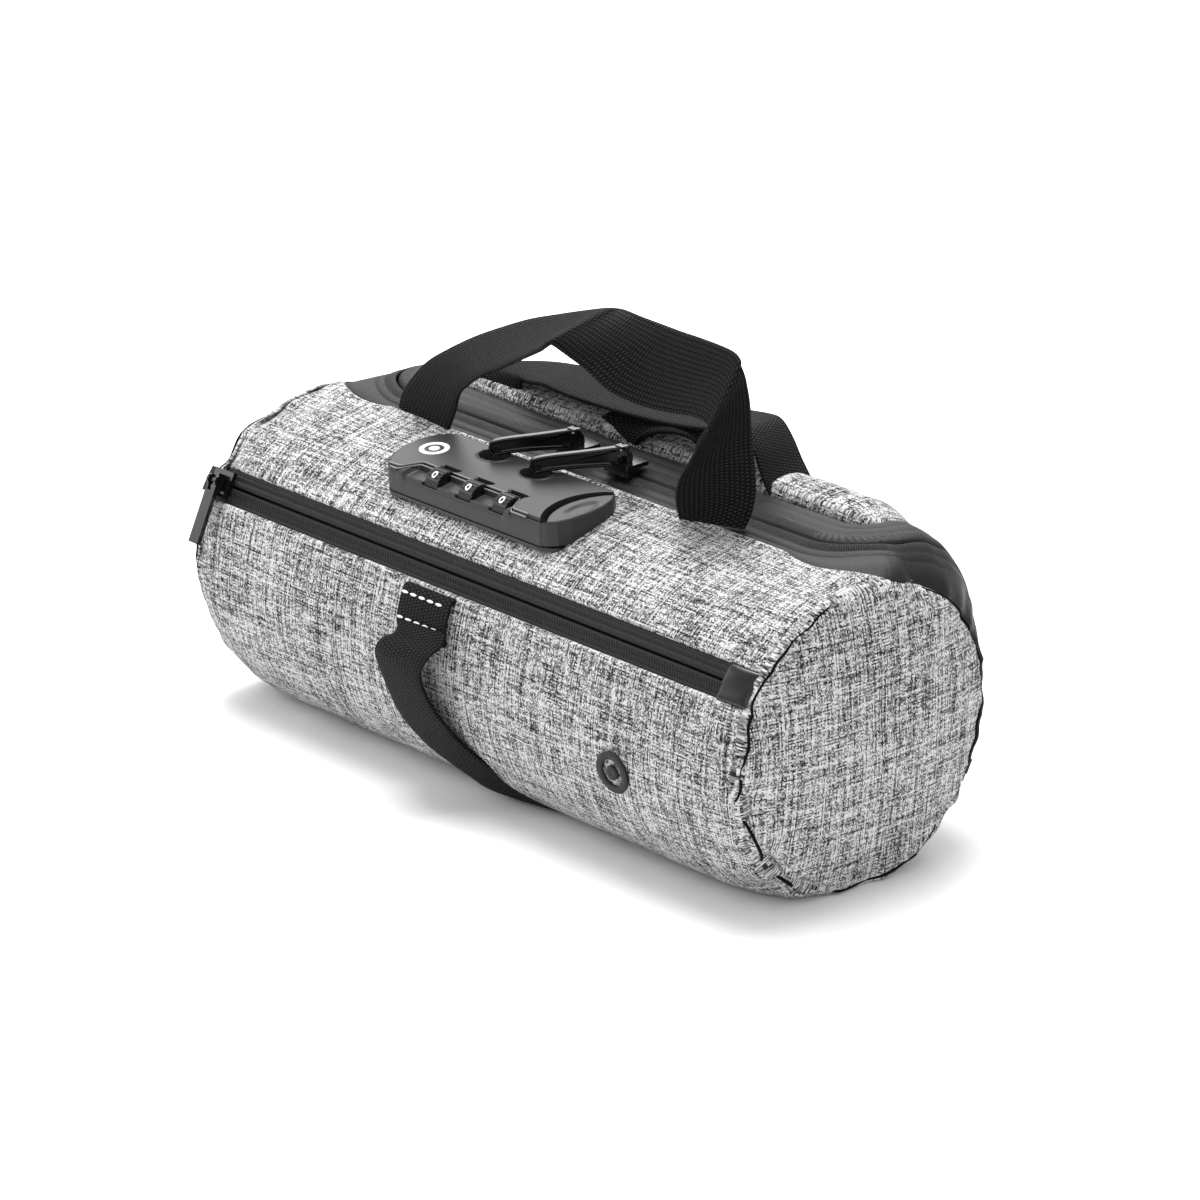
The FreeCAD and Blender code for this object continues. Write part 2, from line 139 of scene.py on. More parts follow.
def angle_at(s):
    s = np.asarray(s, float)
    return np.interp(s % ARC_S[-1], ARC_S, ARC_A) + np.floor(s / ARC_S[-1]) * 360


FIELD = None               # how far the simulated cloth stands off, mm, by rows along x and steps round


def cubic(grid, u, v):
    """Smooth reading of a grid by row u and column v; columns wrap, rows stop at the ends."""
    i, j = np.floor(u).astype(int), np.floor(v).astype(int)
    fu, fv = u - i, v - j

    def four(f):
        return [((-0.5 * f + 1) * f - 0.5) * f, (1.5 * f - 2.5) * f * f + 1, ((-1.5 * f + 2) * f + 0.5) * f,
                (0.5 * f - 0.5) * f * f]
    out = 0
    for k, wu in enumerate(four(fu)):
        row = np.clip(i + k - 1, 0, grid.shape[0] - 1)
        for m, wv in enumerate(four(fv)):
            out = out + wu * wv * grid[row, (j + m - 1) % grid.shape[1]]
    return out


def seam(side, a):
    """How far an end seam wanders along x, mm."""
    t = arc(a) / ARC_S[-1]
    k = 50 if side > 0 else 90
    return side * (1.8 * lattice(t * 30, 0 * t, k) + 1.0 * lattice(t * 60 + 5, 0 * t + 3, k + 1)
                   - 1.2 * np.abs(lattice(t * 44 + 2, 0 * t + 7, k + 2)) - 0.2) * np.clip(np.minimum(t, 1 - t) * 40, 0, 1)


def wrinkle(x, a):
    """How far the cloth stands off its plain form, mm: the simulated field, then small gathers at each end seam."""
    s = arc(a)
    total = ARC_S[-1]
    n = 30
    v = s / total * n
    d = E0 - np.abs(x)
    if FIELD is None:
        broad = 0.9 * lattice(x / 34 + 7, v / 3, 3, 10) + 0.45 * lattice(x / 15 + 3, v * 0.8, 5, 24)
        gather = np.where(x > 0, lattice(d / 26, v, 11, n), lattice(d / 26, v, 29, n)) * 1.5 * np.exp(-d / 15)
    else:
        broad = cubic(FIELD, (np.clip(x, -E0, E0) + E0) / (2 * E0) * (FIELD.shape[0] - 1), s / total * FIELD.shape[1])
        gather = np.where(x > 0, lattice(d / 26, v, 11, n), lattice(d / 26, v, 29, n)) * 1.7 * np.exp(-d / 13)
    fine = np.where(x > 0, lattice(d / 13, v * 2.0, 12, 2 * n), lattice(d / 13, v * 2.0, 31, 2 * n))
    tiny = np.where(x > 0, lattice(d / 8, v * 4.0, 13, 4 * n), lattice(d / 8, v * 4.0, 33, 4 * n))
    return (broad * step(d, 0, 8) + gather * step(d, 0, 3) + fine * 1.6 * np.exp(-d / 8) * step(d, 0, 2)
            + tiny * 0.4 * np.exp(-d / 4) * step(d, 0, 1.5))


def surf(x, a, off=0.0, soft=1.0):
    """Points of the tube's outside, mm: x along it, a degrees round it from the front, off outwards."""
    x, a = np.broadcast_arrays(np.asarray(x, float), np.asarray(a, float))
    t = np.clip((np.abs(x) - 0.76 * HL) / (0.24 * HL), 0, 1)
    w = t ** 2.2
    r = r_mid(a) * (1 - w) + r_end(a) * w + off
    pull = 1.6 * np.exp(-(E0 - np.abs(x)) / 5.0) * soft
    r = r - pull + (wrinkle(x, a) * soft if soft else 0)
    z = AXIS_H + r * np.sin(np.radians(a))
    near = np.clip((np.abs(x) - E0 + 14) / 14, 0, 1) ** 1.5
    xs = x + np.where(x > 0, seam(1, a), seam(-1, a)) * near * soft
    return np.stack([xs, -r * np.cos(np.radians(a)), np.maximum(z, 0.25 - 0.02 * off)], -1)


def simulate(nx=64, na=132, frames=16):
    """Blow up a cut tube of cloth that is a little too big between stitched lines, and read how it wrinkles."""
    xs = np.linspace(-E0, E0, nx)
    sa = np.arange(na) / na * ARC_S[-1]
    X, S = np.meshgrid(xs, sa, indexing="ij")
    A = angle_at(S)
    base = surf(X, A, 0.0, 0.0)
    out = np.stack([np.zeros_like(A), -np.cos(np.radians(A)), np.sin(np.radians(A))], -1)
    start = base + out * (0.25 * lattice(X / 9 + 3, S / ARC_S[-1] * 44, 71, 44))[..., None]
    grow = 0.05 + 0.05 * np.exp(-(E0 - np.abs(X)) / 20)
    cut = base * 1.0
    cut[..., 0] *= 1.025
    cut[..., 1] *= 1 + grow
    cut[..., 2] = AXIS_H + (cut[..., 2] - AXIS_H) * (1 + grow)
    me = bpy.data.meshes.new("cut_tube")
    me.from_pydata([tuple(v) for v in (start.reshape(-1, 3) * MM)], [], quads(nx, na, 0, False, True))
    o = bpy.data.objects.new("cut_tube", me)
    bpy.context.scene.collection.objects.link(o)
    o.shape_key_add(name="as_placed")
    key = o.shape_key_add(name="as_cut")
    key.data.foreach_set("co", (cut.reshape(-1, 3) * MM).ravel())
    key.value = 0.0
    g = o.vertex_groups.new(name="stitched")
    slit = np.abs(S - arc(A_SLIT))
    held = (np.abs(X) > E0 - 1) | ((slit < 13) & (np.abs(X) < XS)) | (np.abs(S - arc(A_POC)) < 5.0) | (base[..., 2] < 1.0)
    g.add([int(k) for k in np.nonzero(held.ravel())[0]], 1.0, "REPLACE")
    c = o.modifiers.new("cloth", "CLOTH")
    q = c.settings
    q.quality, q.mass, q.air_damping = 6, 0.15, 5.0
    q.tension_stiffness = q.compression_stiffness = 12
    q.shear_stiffness, q.bending_stiffness = 4, 0.6
    q.vertex_group_mass = "stitched"
    q.rest_shape_key = key
    q.use_pressure, q.uniform_pressure_force = True, 3.0
    q.effector_weights.gravity = 0.0
    c.point_cache.frame_start, c.point_cache.frame_end = 1, frames
    sc = bpy.context.scene
    for f in range(1, frames + 1):
        sc.frame_set(f)
    ev = o.evaluated_get(bpy.context.evaluated_depsgraph_get())
    co = np.zeros(nx * na * 3)
    ev.data.vertices.foreach_get("co", co)
    d = ((co.reshape(nx, na, 3) / MM - base) * out).sum(-1)
    bpy.data.objects.remove(o)
    sc.frame_set(1)
    blur = d.copy()
    for _ in range(40):
        blur = 0.5 * blur + 0.25 * (np.roll(blur, 1, 1) + np.roll(blur, -1, 1))
        e = np.pad(blur, ((1, 1), (0, 0)), mode="edge")
        blur = 0.5 * blur + 0.25 * (e[:-2] + e[2:])
    d = np.where(held, 0, d - 0.75 * blur)
    e = np.pad(d, ((1, 1), (0, 0)), mode="edge")
    d = 0.6 * d + 0.1 * (e[:-2] + e[2:] + np.roll(d, 1, 1) + np.roll(d, -1, 1))
    return np.clip(d, -2.2, 2.2)


# ------------------------------------------------------------------ meshes
def sRGB(hexa):
    c = [int(hexa[i:i + 2], 16) / 255 for i in (1, 3, 5)]
    return tuple(v / 12.92 if v <= 0.04045 else ((v + 0.055) / 1.055) ** 2.4 for v in c) + (1.0,)


def make(name, verts, faces, material, body, uv=None, replaces=(), slot=None, flat=False):
    """A mesh from points in mm. uv is one pair for each vertex, in mm, kept in metres."""
    me = bpy.data.meshes.new(name)
    me.from_pydata([tuple(v) for v in np.asarray(verts, float) * MM], [], [tuple(f) for f in faces])
    me.polygons.foreach_set("use_smooth", [not flat] * len(me.polygons))
    if uv is not None:
        layer = me.uv_layers.new(name="cloth")
        index = np.zeros(len(me.loops), int)
        me.loops.foreach_get("vertex_index", index)
        layer.data.foreach_set("uv", (np.asarray(uv, float)[index] * MM).ravel())
    me.materials.append(material)
    me.update()
    o = bpy.data.objects.new(name, me)
    bpy.context.scene.collection.objects.link(o)
    if body:
        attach(o, body)
    if replaces:
        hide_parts(*replaces)
    return o


def quads(nu, nv, base=0, flip=False, wrap=False):
    """Faces of a grid of nu by nv points; wrap joins the last column to the first."""
    out = []
    for i in range(nu - 1):
        for j in range(nv if wrap else nv - 1):
            k = (j + 1) % nv
            f = (base + i * nv + j, base + (i + 1) * nv + j, base + (i + 1) * nv + k, base + i * nv + k)
            out.append(f[::-1] if flip else f)
    return out


def slab(outer, inner, flip=False):
    """A closed thick sheet from two matching grids of points."""
    nu, nv = outer.shape[:2]
    v = np.vstack([outer.reshape(-1, 3), inner.reshape(-1, 3)])
    b = nu * nv
    f = quads(nu, nv, 0, flip) + quads(nu, nv, b, not flip)
    ring = ([(i, 0) for i in range(nu - 1)] + [(nu - 1, j) for j in range(nv - 1)]
            + [(i, nv - 1) for i in range(nu - 1, 0, -1)] + [(0, j) for j in range(nv - 1, 0, -1)])
    for k in range(len(ring)):
        (i, j), (m, n) = ring[k], ring[(k + 1) % len(ring)]
        q = (i * nv + j, m * nv + n, b + m * nv + n, b + i * nv + j)
        f.append(q if flip else q[::-1])
    return v, f


def tube(rings, flip=False, close=False):
    """A closed band through rings of points, shape (n, k, 3), with its two ends filled."""
    n, k = rings.shape[:2]
    f = quads(n, k, 0, flip, True)
    if close:
        f += [tuple((n - 1) * k + j if m == 0 else j if m == 1 else 0 for m in ()) for j in ()]
        for j in range(k):
            m = (j + 1) % k
            q = ((n - 1) * k + j, j, m, (n - 1) * k + m)
            f.append(q[::-1] if flip else q)
    else:
        a, b = list(range(k)), [(n - 1) * k + j for j in range(k)]
        f += [tuple(a if flip else a[::-1]), tuple(b[::-1] if flip else b)]
    return rings.reshape(-1, 3), f


def edge_rows(length, pitch):
    """Distances across a cloth panel, close together at its two turned edges."""
    e = np.array([0, 0.2, 0.5, 0.9, 1.4, 2.2])
    n = max(4, int((length - 5) / pitch))
    return np.r_[e, np.linspace(3.2, length - 3.2, n), length - e[::-1]]


def rolled(e, r=ROLL):
    """How far a turned edge has dropped at e mm from the edge."""
    e = np.clip(e, 0, r)
    return r - np.sqrt(r * r - (r - e) ** 2)


FIELD = simulate()
print("cloth field mm", FIELD.min().round(2), FIELD.max().round(2), FIELD.std().round(3))


# ------------------------------------------------------------------ materials
def add(nt, kind, at=(0, 0), **values):
    n = nt.nodes.new(kind)
    n.location = at
    for k, v in values.items():
        if hasattr(n, k) and k not in ("inputs",):
            setattr(n, k, v)
    return n


def new_material(name, colour, roughness=0.8, **sockets):
    m = bpy.data.materials.new(name)
    m.use_nodes = True
    nt = m.node_tree
    b = nt.nodes["Principled BSDF"]
    b.inputs["Base Color"].default_value = sRGB(colour)
    b.inputs["Roughness"].default_value = roughness
    for k, v in sockets.items():
        b.inputs[k.replace("_", " ")].default_value = v
    return m, nt, b


def math_node(nt, op, a, b=None, clamp=False):
    n = add(nt, "ShaderNodeMath", operation=op, use_clamp=clamp)
    for i, x in enumerate((a, b)):
        if x is None:
            continue
        if isinstance(x, (int, float)):
            n.inputs[i].default_value = x
        else:
            nt.links.new(x, n.inputs[i])
    return n.outputs[0]


def yarn_uv(nt, pitch):
    """UV in yarns: the cloth's own coordinates divided by the pitch in mm."""
    uv = add(nt, "ShaderNodeUVMap", uv_map="cloth")
    mp = add(nt, "ShaderNodeMapping")
    mp.inputs["Scale"].default_value = (1000 / pitch, 1000 / pitch, 1)
    nt.links.new(uv.outputs[0], mp.inputs[0])
    sep = add(nt, "ShaderNodeSeparateXYZ")
    nt.links.new(mp.outputs[0], sep.inputs[0])
    return sep.outputs[0], sep.outputs[1]


def streak(nt, along, across, length, seed, detail=1.0):
    """Noise that runs along one yarn and changes from yarn to yarn."""
    row = math_node(nt, "FLOOR", across)
    comb = add(nt, "ShaderNodeCombineXYZ")
    nt.links.new(math_node(nt, "DIVIDE", along, length), comb.inputs[0])
    nt.links.new(math_node(nt, "MULTIPLY", row, 7.31), comb.inputs[1])
    comb.inputs[2].default_value = seed
    n = add(nt, "ShaderNodeTexNoise", noise_dimensions="3D")
    n.inputs["Scale"].default_value = 1.0
    n.inputs["Detail"].default_value = detail
    nt.links.new(comb.outputs[0], n.inputs["Vector"])
    return n.outputs["Fac"]


def cloth_heather(name="heather polyester plain weave"):
    """Black and pale slub yarns crossing one over, one under."""
    m, nt, b = new_material(name, "#8a8a8a", 0.88, Sheen_Weight=0.08, Sheen_Roughness=0.5, Specular_IOR_Level=0.2)
    u, v = yarn_uv(nt, WEAVE)
    warp = streak(nt, v, u, 9.0, 1.7)
    weft = streak(nt, u, v, 9.0, 9.2)
    over = math_node(nt, "PINGPONG", math_node(nt, "ADD", math_node(nt, "FLOOR", u), math_node(nt, "FLOOR", v)), 1.0)
    mix = add(nt, "ShaderNodeMix", data_type="FLOAT")
    nt.links.new(over, mix.inputs[0])
    nt.links.new(warp, mix.inputs[2])
    nt.links.new(weft, mix.inputs[3])
    long_warp = streak(nt, v, u, 60.0, 3.3, 1.0)
    long_weft = streak(nt, u, v, 40.0, 5.1, 1.0)
    drift = math_node(nt, "MULTIPLY", math_node(nt, "ADD", long_warp, long_weft), 0.38)
    cell = add(nt, "ShaderNodeCombineXYZ")
    nt.links.new(math_node(nt, "FLOOR", u), cell.inputs[0])
    nt.links.new(math_node(nt, "FLOOR", v), cell.inputs[1])
    white = add(nt, "ShaderNodeTexWhiteNoise", noise_dimensions="2D")
    nt.links.new(cell.outputs[0], white.inputs["Vector"])
    speck = math_node(nt, "MULTIPLY", math_node(nt, "SUBTRACT", white.outputs["Value"], 0.5), 0.22)
    tone = math_node(nt, "ADD", math_node(nt, "MULTIPLY", mix.outputs[0], 0.50), math_node(nt, "SUBTRACT", drift, 0.12))
    tone = math_node(nt, "ADD", tone, speck)
    ramp = add(nt, "ShaderNodeValToRGB")
    ramp.color_ramp.elements[0].position, ramp.color_ramp.elements[0].color = 0.375, sRGB("#141414")
    ramp.color_ramp.elements[1].position, ramp.color_ramp.elements[1].color = 0.625, sRGB("#d2d2d2")
    mid = ramp.color_ramp.elements.new(0.49)
    mid.color = sRGB("#7e7e7e")
    nt.links.new(tone, ramp.inputs[0])
    nt.links.new(ramp.outputs[0], b.inputs["Base Color"])
    hu = math_node(nt, "SINE", math_node(nt, "MULTIPLY", u, math.pi))
    hv = math_node(nt, "SINE", math_node(nt, "MULTIPLY", v, math.pi))
    h = math_node(nt, "MULTIPLY", math_node(nt, "ABSOLUTE", hu), math_node(nt, "ABSOLUTE", hv))
    h = math_node(nt, "ADD", h, math_node(nt, "MULTIPLY", mix.outputs[0], 0.8))
    bump = add(nt, "ShaderNodeBump")
    bump.inputs["Strength"].default_value = 0.45
    bump.inputs["Distance"].default_value = 0.00018
    nt.links.new(h, bump.inputs["Height"])
    nt.links.new(bump.outputs[0], b.inputs["Normal"])
    return m


def webbing(name, colour, wide, long, strength=0.8):
    """Ribbed webbing: each float wide across and long along, half a step on in the next column."""
    m, nt, b = new_material(name, colour, 0.7, Specular_IOR_Level=0.15)
    u, v = yarn_uv(nt, 1.0)
    u, v = math_node(nt, "DIVIDE", u, wide), math_node(nt, "DIVIDE", v, long)
    shift = math_node(nt, "MULTIPLY", math_node(nt, "FLOOR", u), 0.5)
    fu = math_node(nt, "ABSOLUTE", math_node(nt, "SINE", math_node(nt, "MULTIPLY", u, math.pi)))
    fv = math_node(nt, "ABSOLUTE", math_node(nt, "SINE", math_node(nt, "MULTIPLY", math_node(nt, "ADD", v, shift), math.pi)))
    h = math_node(nt, "MULTIPLY", math_node(nt, "POWER", fu, 0.6), fv)
    bump = add(nt, "ShaderNodeBump")
    bump.inputs["Strength"].default_value = strength
    bump.inputs["Distance"].default_value = 0.0006
    nt.links.new(h, bump.inputs["Height"])
    nt.links.new(bump.outputs[0], b.inputs["Normal"])
    # painted light: the base colour follows the rib height, with the crests painted up to 6.5 times lighter as a
    # highlight and the hollows painted dark as shade
    mix = add(nt, "ShaderNodeMix", data_type="RGBA")
    mix.inputs[6].default_value = tuple(c * 0.15 for c in sRGB(colour)[:3]) + (1,)
    mix.inputs[7].default_value = tuple(min(c * 6.5, 1) for c in sRGB(colour)[:3]) + (1,)
    nt.links.new(math_node(nt, "POWER", h, 3.5), mix.inputs[0])
    nt.links.new(mix.outputs[2], b.inputs["Base Color"])
    return m


def twill(name, colour):
    """Coated zip tape: fine ribs across it."""
    m, nt, b = new_material(name, colour, 0.5, Specular_IOR_Level=0.22)
    u, v = yarn_uv(nt, 1.0)
    grain = add(nt, "ShaderNodeTexVoronoi", feature="DISTANCE_TO_EDGE")
    grain.inputs["Scale"].default_value = 0.9
    where = add(nt, "ShaderNodeCombineXYZ")
    nt.links.new(u, where.inputs[0])
    nt.links.new(v, where.inputs[1])
    nt.links.new(where.outputs[0], grain.inputs["Vector"])
    wide = math_node(nt, "ABSOLUTE", u)
    coil = math_node(nt, "MULTIPLY", math_node(nt, "GREATER_THAN", wide, 1.0), math_node(nt, "LESS_THAN", wide, 4.4))
    ribs = math_node(nt, "ABSOLUTE", math_node(nt, "SINE", math_node(nt, "MULTIPLY", math_node(nt, "ADD", v, math_node(nt, "MULTIPLY", u, 0.25)), math.pi / 1.1)))
    h = math_node(nt, "ADD", math_node(nt, "MULTIPLY", ribs, coil), math_node(nt, "MULTIPLY", grain.outputs["Distance"], 0.5))
    bump = add(nt, "ShaderNodeBump")
    bump.inputs["Strength"].default_value = 0.7
    bump.inputs["Distance"].default_value = 0.0004
    nt.links.new(h, bump.inputs["Height"])
    nt.links.new(bump.outputs[0], b.inputs["Normal"])
    return m


HEATHER = cloth_heather()
TWILL = twill("polyurethane coated zip tape", "#171718")
WEB = webbing("polypropylene webbing", "#0f0f10", 1.6, 1.05)
WEB_COARSE = webbing("basketweave webbing", "#121213", 2.0, 1.8, 1.0)
LINING = new_material("nylon lining", "#232324", 0.7)[0]
LOCK_PAINT = new_material("satin dark grey paint", "#2c2c2d", 0.42, Specular_IOR_Level=0.32)[0]
# painted highlight: a light grey for beads along the lock cover's edge lines, not worn paint
EDGE_HIGHLIGHT = new_material("painted highlight on the cover's edge lines", "#77777a", 0.35, Specular_IOR_Level=0.6)[0]
RUBBER = new_material("black rubber coating", "#0b0b0c", 0.3, Specular_IOR_Level=0.5)[0]
BLACK_PLASTIC = new_material("black nylon", "#0c0c0d", 0.4)[0]
BLACK_METAL = new_material("black enamelled zinc", "#0b0b0c", 0.2, Metallic=0.0)[0]
STEEL = new_material("bright steel", "#c9c9c9", 0.25, Metallic=1.0)[0]
WHITE_INK = new_material("white ink", "#f2f2f2", 0.5)[0]
BLACK_INK = new_material("black printed film", "#0c0c0c", 0.6)[0]
# painted shade: a near-black colour for thin tubes that darken the crease of each end seam
SEAM_SHADE = new_material("painted shade in the seam crease", "#0c0c0d", 0.95, Specular_IOR_Level=0.1)[0]
THREAD = new_material("white bonded thread", "#e8e8e6", 0.6)[0]


# ------------------------------------------------------------------ camera and studio
AZ, EL, FAR = math.radians(48.0), math.radians(20.46), 1.7506
AIM = Vector((0.01017, 0.0, 0.05832))
back = Vector((math.sin(AZ) * math.cos(EL), -math.cos(AZ) * math.cos(EL), math.sin(EL)))
cam = bpy.data.objects.new("camera", bpy.data.cameras.new("camera"))
bpy.context.scene.collection.objects.link(cam)
cam.location = AIM + back * FAR
cam.rotation_euler = back.to_track_quat("Z", "Y").to_euler()
cam.data.sensor_width = 36
cam.data.lens = 36 * 3.263 * FAR / MM / 1200
bpy.context.scene.camera = cam


def area_light(name, at, aim, size, watts):
    l = bpy.data.lights.new(name, "AREA")
    l.shape, l.size, l.size_y, l.energy = "RECTANGLE", size[0], size[1], watts
    o = bpy.data.objects.new(name, l)
    o.location = at
    o.rotation_euler = (Vector(at) - Vector(aim)).to_track_quat("Z", "Y").to_euler()
    bpy.context.scene.collection.objects.link(o)
    return o


area_light("overhead softbox", (-0.2, 0.1, 1.3), (0, 0, 0.05), (0.8, 0.7), 20)
area_light("back softbox", (-1.0, 1.0, 0.9), (0, 0, 0.05), (1.2, 0.7), 9)
area_light("left softbox", (-1.1, -0.7, 0.7), (0, 0, 0.05), (0.8, 0.8), 5)
area_light("right fill", (1.3, -0.7, 0.5), (0, 0, 0.05), (1.0, 1.0), 2.5)
world = bpy.data.worlds.new("studio")
world.use_nodes = True
world.node_tree.nodes["Background"].inputs[0].default_value = (1, 1, 1, 1)
world.node_tree.nodes["Background"].inputs[1].default_value = 0.70
bpy.context.scene.world = world
bpy.context.scene.view_settings.view_transform = "Standard"
floor_me = bpy.data.meshes.new("floor")
floor_me.from_pydata([(-6, -6, 0), (6, -6, 0), (6, 6, 0), (-6, 6, 0)], [], [(0, 1, 2, 3)])
floor = bpy.data.objects.new("floor", floor_me)
floor_me.materials.append(new_material("white sweep", "#f7f7f7", 0.9)[0])
bpy.context.scene.collection.objects.link(floor)


# ------------------------------------------------------------------ cloth panels
def edge_top(x):
    """Angle where the front panel meets the main zip: the tape widens as it turns down over each end."""
    t = np.linspace(math.pi / 2, 0.3, 60)
    r = CORNER + TAPE_F + (TAPE_E - TAPE_F) * np.cos(t)
    return angle_at(arc(A_SLIT) + np.interp(np.abs(x), XS - CORNER + r * np.cos(t), CORNER - r * np.sin(t)))


def edge_lid(x):
    r = CORNER - TAPE
    e = np.clip(np.abs(x) - (XS - CORNER), 0, r)
    return angle_at(arc(A_TOP1) + r - np.sqrt(r * r - e * e))


def panel(name, x0, x1, low, high, nodes, body, pitch=1.5, thick=4.0, tuck=2.2):
    """A padded cloth panel: a curved sheet with turned edges, between two edges given as angles along x."""
    ex = edge_rows(x1 - x0, pitch)
    x = x0 + ex
    lo, hi = arc(low(x)), arc(high(x))
    span = float(np.mean(hi - lo))
    ev = edge_rows(span, pitch) / span
    s = lo[:, None] + (hi - lo)[:, None] * ev[None, :]
    X = np.repeat(x[:, None], len(ev), 1)
    dx = np.minimum(ex, (x1 - x0) - ex)[:, None]
    dv = np.minimum(ev, 1 - ev)[None, :] * (hi - lo)[:, None]
    drop = np.maximum(rolled(dx, 2.4), rolled(dv))
    a = angle_at(s)
    rise = 0.7 * np.exp(-dv / 5.0) * step(dx, 0, 6)
    if body == "lid":
        rise = rise + 3.6 * step(dx, 0, 14) * step(a, A_TOP1 - 4, A_TOP1 + 9) * (1 - step(a, A_TOP1 + 20, A_TOP1 + 60))
    outer = surf(X, a, rise - drop)
    inner = surf(X, a, -thick - 0 * drop)
    v, f = slab(outer, inner)
    uv = np.stack([X, s], -1)
    under = uv.copy()
    under[0, :, 0] -= thick
    under[-1, :, 0] += thick
    under[:, 0, 1] -= thick
    under[:, -1, 1] += thick
    o = make(name, v, f, HEATHER, body, np.vstack([uv.reshape(-1, 2), under.reshape(-1, 2)]), nodes, "heather_fabric")
    return o


def const(v):
    return lambda x: np.full_like(np.asarray(x, float), v)


poc_lo = angle_at(arc(A_POC) - POC_HALF)
poc_hi = angle_at(arc(A_POC) + POC_HALF)
panel("lower_panel_cloth", -E0, E0, const(A_HINGE - 359.3), const(float(poc_lo)), ["lower_panel"], "bag")
panel("upper_front_panel_cloth", -E0, E0, const(float(poc_hi)), edge_top, ["upper_front_panel"], "bag")
panel("lid_cloth", -XS + TAPE, XS - TAPE, edge_lid, const(A_HINGE), ["lid_panel"], "lid")


def end_panel(name, side, node):
    """A padded disc: rings from the seam to the middle, bulging outwards, gathered at the seam."""
    a = np.linspace(0, 360, 241)[:-1]
    s = arc(a) / ARC_S[-1] * 30
    seed = 11 if side > 0 else 29
    rim = r_end(a)
    rows = np.r_[[0, 0.2, 0.5, 0.9, 1.4, 2.2], np.linspace(3.2, 40, 26)]
    pts, uv = [], []
    for e in rows:
        k = np.clip(1 - e / 46.0, 0, 1)
        r = (rim - 1.2) * k
        dome = DOME * (1 - k ** 2.6) * 1.05
        pucker = (lattice(e / 16, s, seed + 40, 30) * 1.1 * np.exp(-e / 9)
                  + lattice(e / 9, s * 2, seed + 41, 60) * 0.5 * np.exp(-e / 5)) * step(np.full_like(a, e), 0, 2.5)
        x = E0 + 0.1 + dome - rolled(np.full_like(a, e), 2.4) + pucker + 0.5 * lattice(s / 6, 0 * s + e / 20, seed + 3)
        wander = seam(side, a) * np.clip(1 - e / 14, 0, 1) ** 1.5
        x = x + side * wander
        pts.append(np.stack([side * x, -r * np.cos(np.radians(a)),
                             np.maximum(AXIS_H + r * np.sin(np.radians(a)), 0.25)], -1))
        uv.append(np.stack([-r * np.cos(np.radians(a)) * side, r * np.sin(np.radians(a))], -1))
    inner = pts[0].copy()
    inner[:, 0] = side * (E0 - 3.0)
    pts = np.array([inner] + pts)
    uv = np.array([uv[0]] + uv)
    n, k = pts.shape[:2]
    v = np.vstack([pts.reshape(-1, 3), [[side * (E0 + 0.1 + DOME * 1.05), 0, AXIS_H]], [[side * (E0 - 3), 0, AXIS_H]]])
    f = quads(n, k, 0, side < 0, True)
    c = n * k
    for j in range(k):
        m = (j + 1) % k
        t = ((n - 1) * k + j, (n - 1) * k + m, c)
        f.append(t if side < 0 else t[::-1])
        t = (j, m, c + 1)
        f.append(t[::-1] if side < 0 else t)
    uvs = np.vstack([uv.reshape(-1, 2), [[0, 0]], [[0, 0]]])
    o = make(name, v, f, HEATHER, "bag", uvs, [node], "heather_fabric")
    return o


def seam_shade_tube(name, side):
    """A thin black tube down in the crease between the tube and an end panel: painted shade for the shadow in the seam
    crease, not a real part.
    """
    a = np.linspace(0, 360, 361)[:-1]
    t = np.linspace(0, 2 * math.pi, 8, endpoint=False)
    rings = []
    for q in t:
        p = surf(np.full_like(a, side * (E0 + 0.1)), a, -0.85 - 1.0 * step(a, 92, 104) * (1 - step(a, 268, 280)))
        n = np.stack([0 * a, -np.cos(np.radians(a)), np.sin(np.radians(a))], -1)
        rings.append(p + n * 0.55 * math.sin(q) + np.array([side * 0.38 * math.cos(q), 0, 0]))
    v, f = tube(np.stack(rings, 1), close=True)
    return make(name, v, f, SEAM_SHADE, "bag", v[:, :2], (), "lining_fabric")


# painted shade: black tubes laid in the end seams' creases
seam_shade_tube("right_seam_painted_shade", 1)
seam_shade_tube("left_seam_painted_shade", -1)
end_panel("right_end_cloth", 1, "right_end_panel")
end_panel("left_end_cloth", -1, "left_end_panel")


# ------------------------------------------------------------------ zip tapes
def u_path(step_mm=2.0):
    """The slit of the main zip in the unrolled cloth: (x, length from the top run, outward direction)."""
    q1 = float(arc(A_HINGE) - arc(A_SLIT))
    rows = []
    for q in np.arange(q1, CORNER, -step_mm):
        rows.append((-XS, q, 1, 0))
    for t in np.linspace(0, math.pi / 2, 18):
        rows.append((-XS + CORNER - CORNER * math.cos(t), CORNER - CORNER * math.sin(t), math.cos(t), math.sin(t)))
    for x in np.arange(-XS + CORNER + step_mm, XS - CORNER - step_mm / 2, step_mm):
        rows.append((x, 0, 0, 1))
    for t in np.linspace(math.pi / 2, 0, 18):
        rows.append((XS - CORNER + CORNER * math.cos(t), CORNER - CORNER * math.sin(t), -math.cos(t), math.sin(t)))
    for q in np.arange(CORNER + step_mm, q1, step_mm):
        rows.append((XS, q, -1, 0))
    return np.array(rows)


def strip(path, profile, s0, wide=False):
    """Sweep a closed profile of (across, height) along an unrolled path and lay it on the tube."""
    p = np.array(profile, float)
    grow = np.where(p[:, 0] < -8, (TAPE_E - TAPE_F) * (-p[:, 0] - 1) / (TAPE_F + 1), 0) if wide else 0 * p[:, 0]
    d = p[None, :, 0] - np.abs(path[:, 2:3]) * grow[None, :]
    X = path[:, 0:1] + path[:, 2:3] * d
    Q = path[:, 1:2] + path[:, 3:4] * d
    H = np.repeat(p[None, :, 1], len(path), 0)
    return surf(np.clip(X, -E0 + 0.2, E0 - 0.2), angle_at(s0 + Q), H)


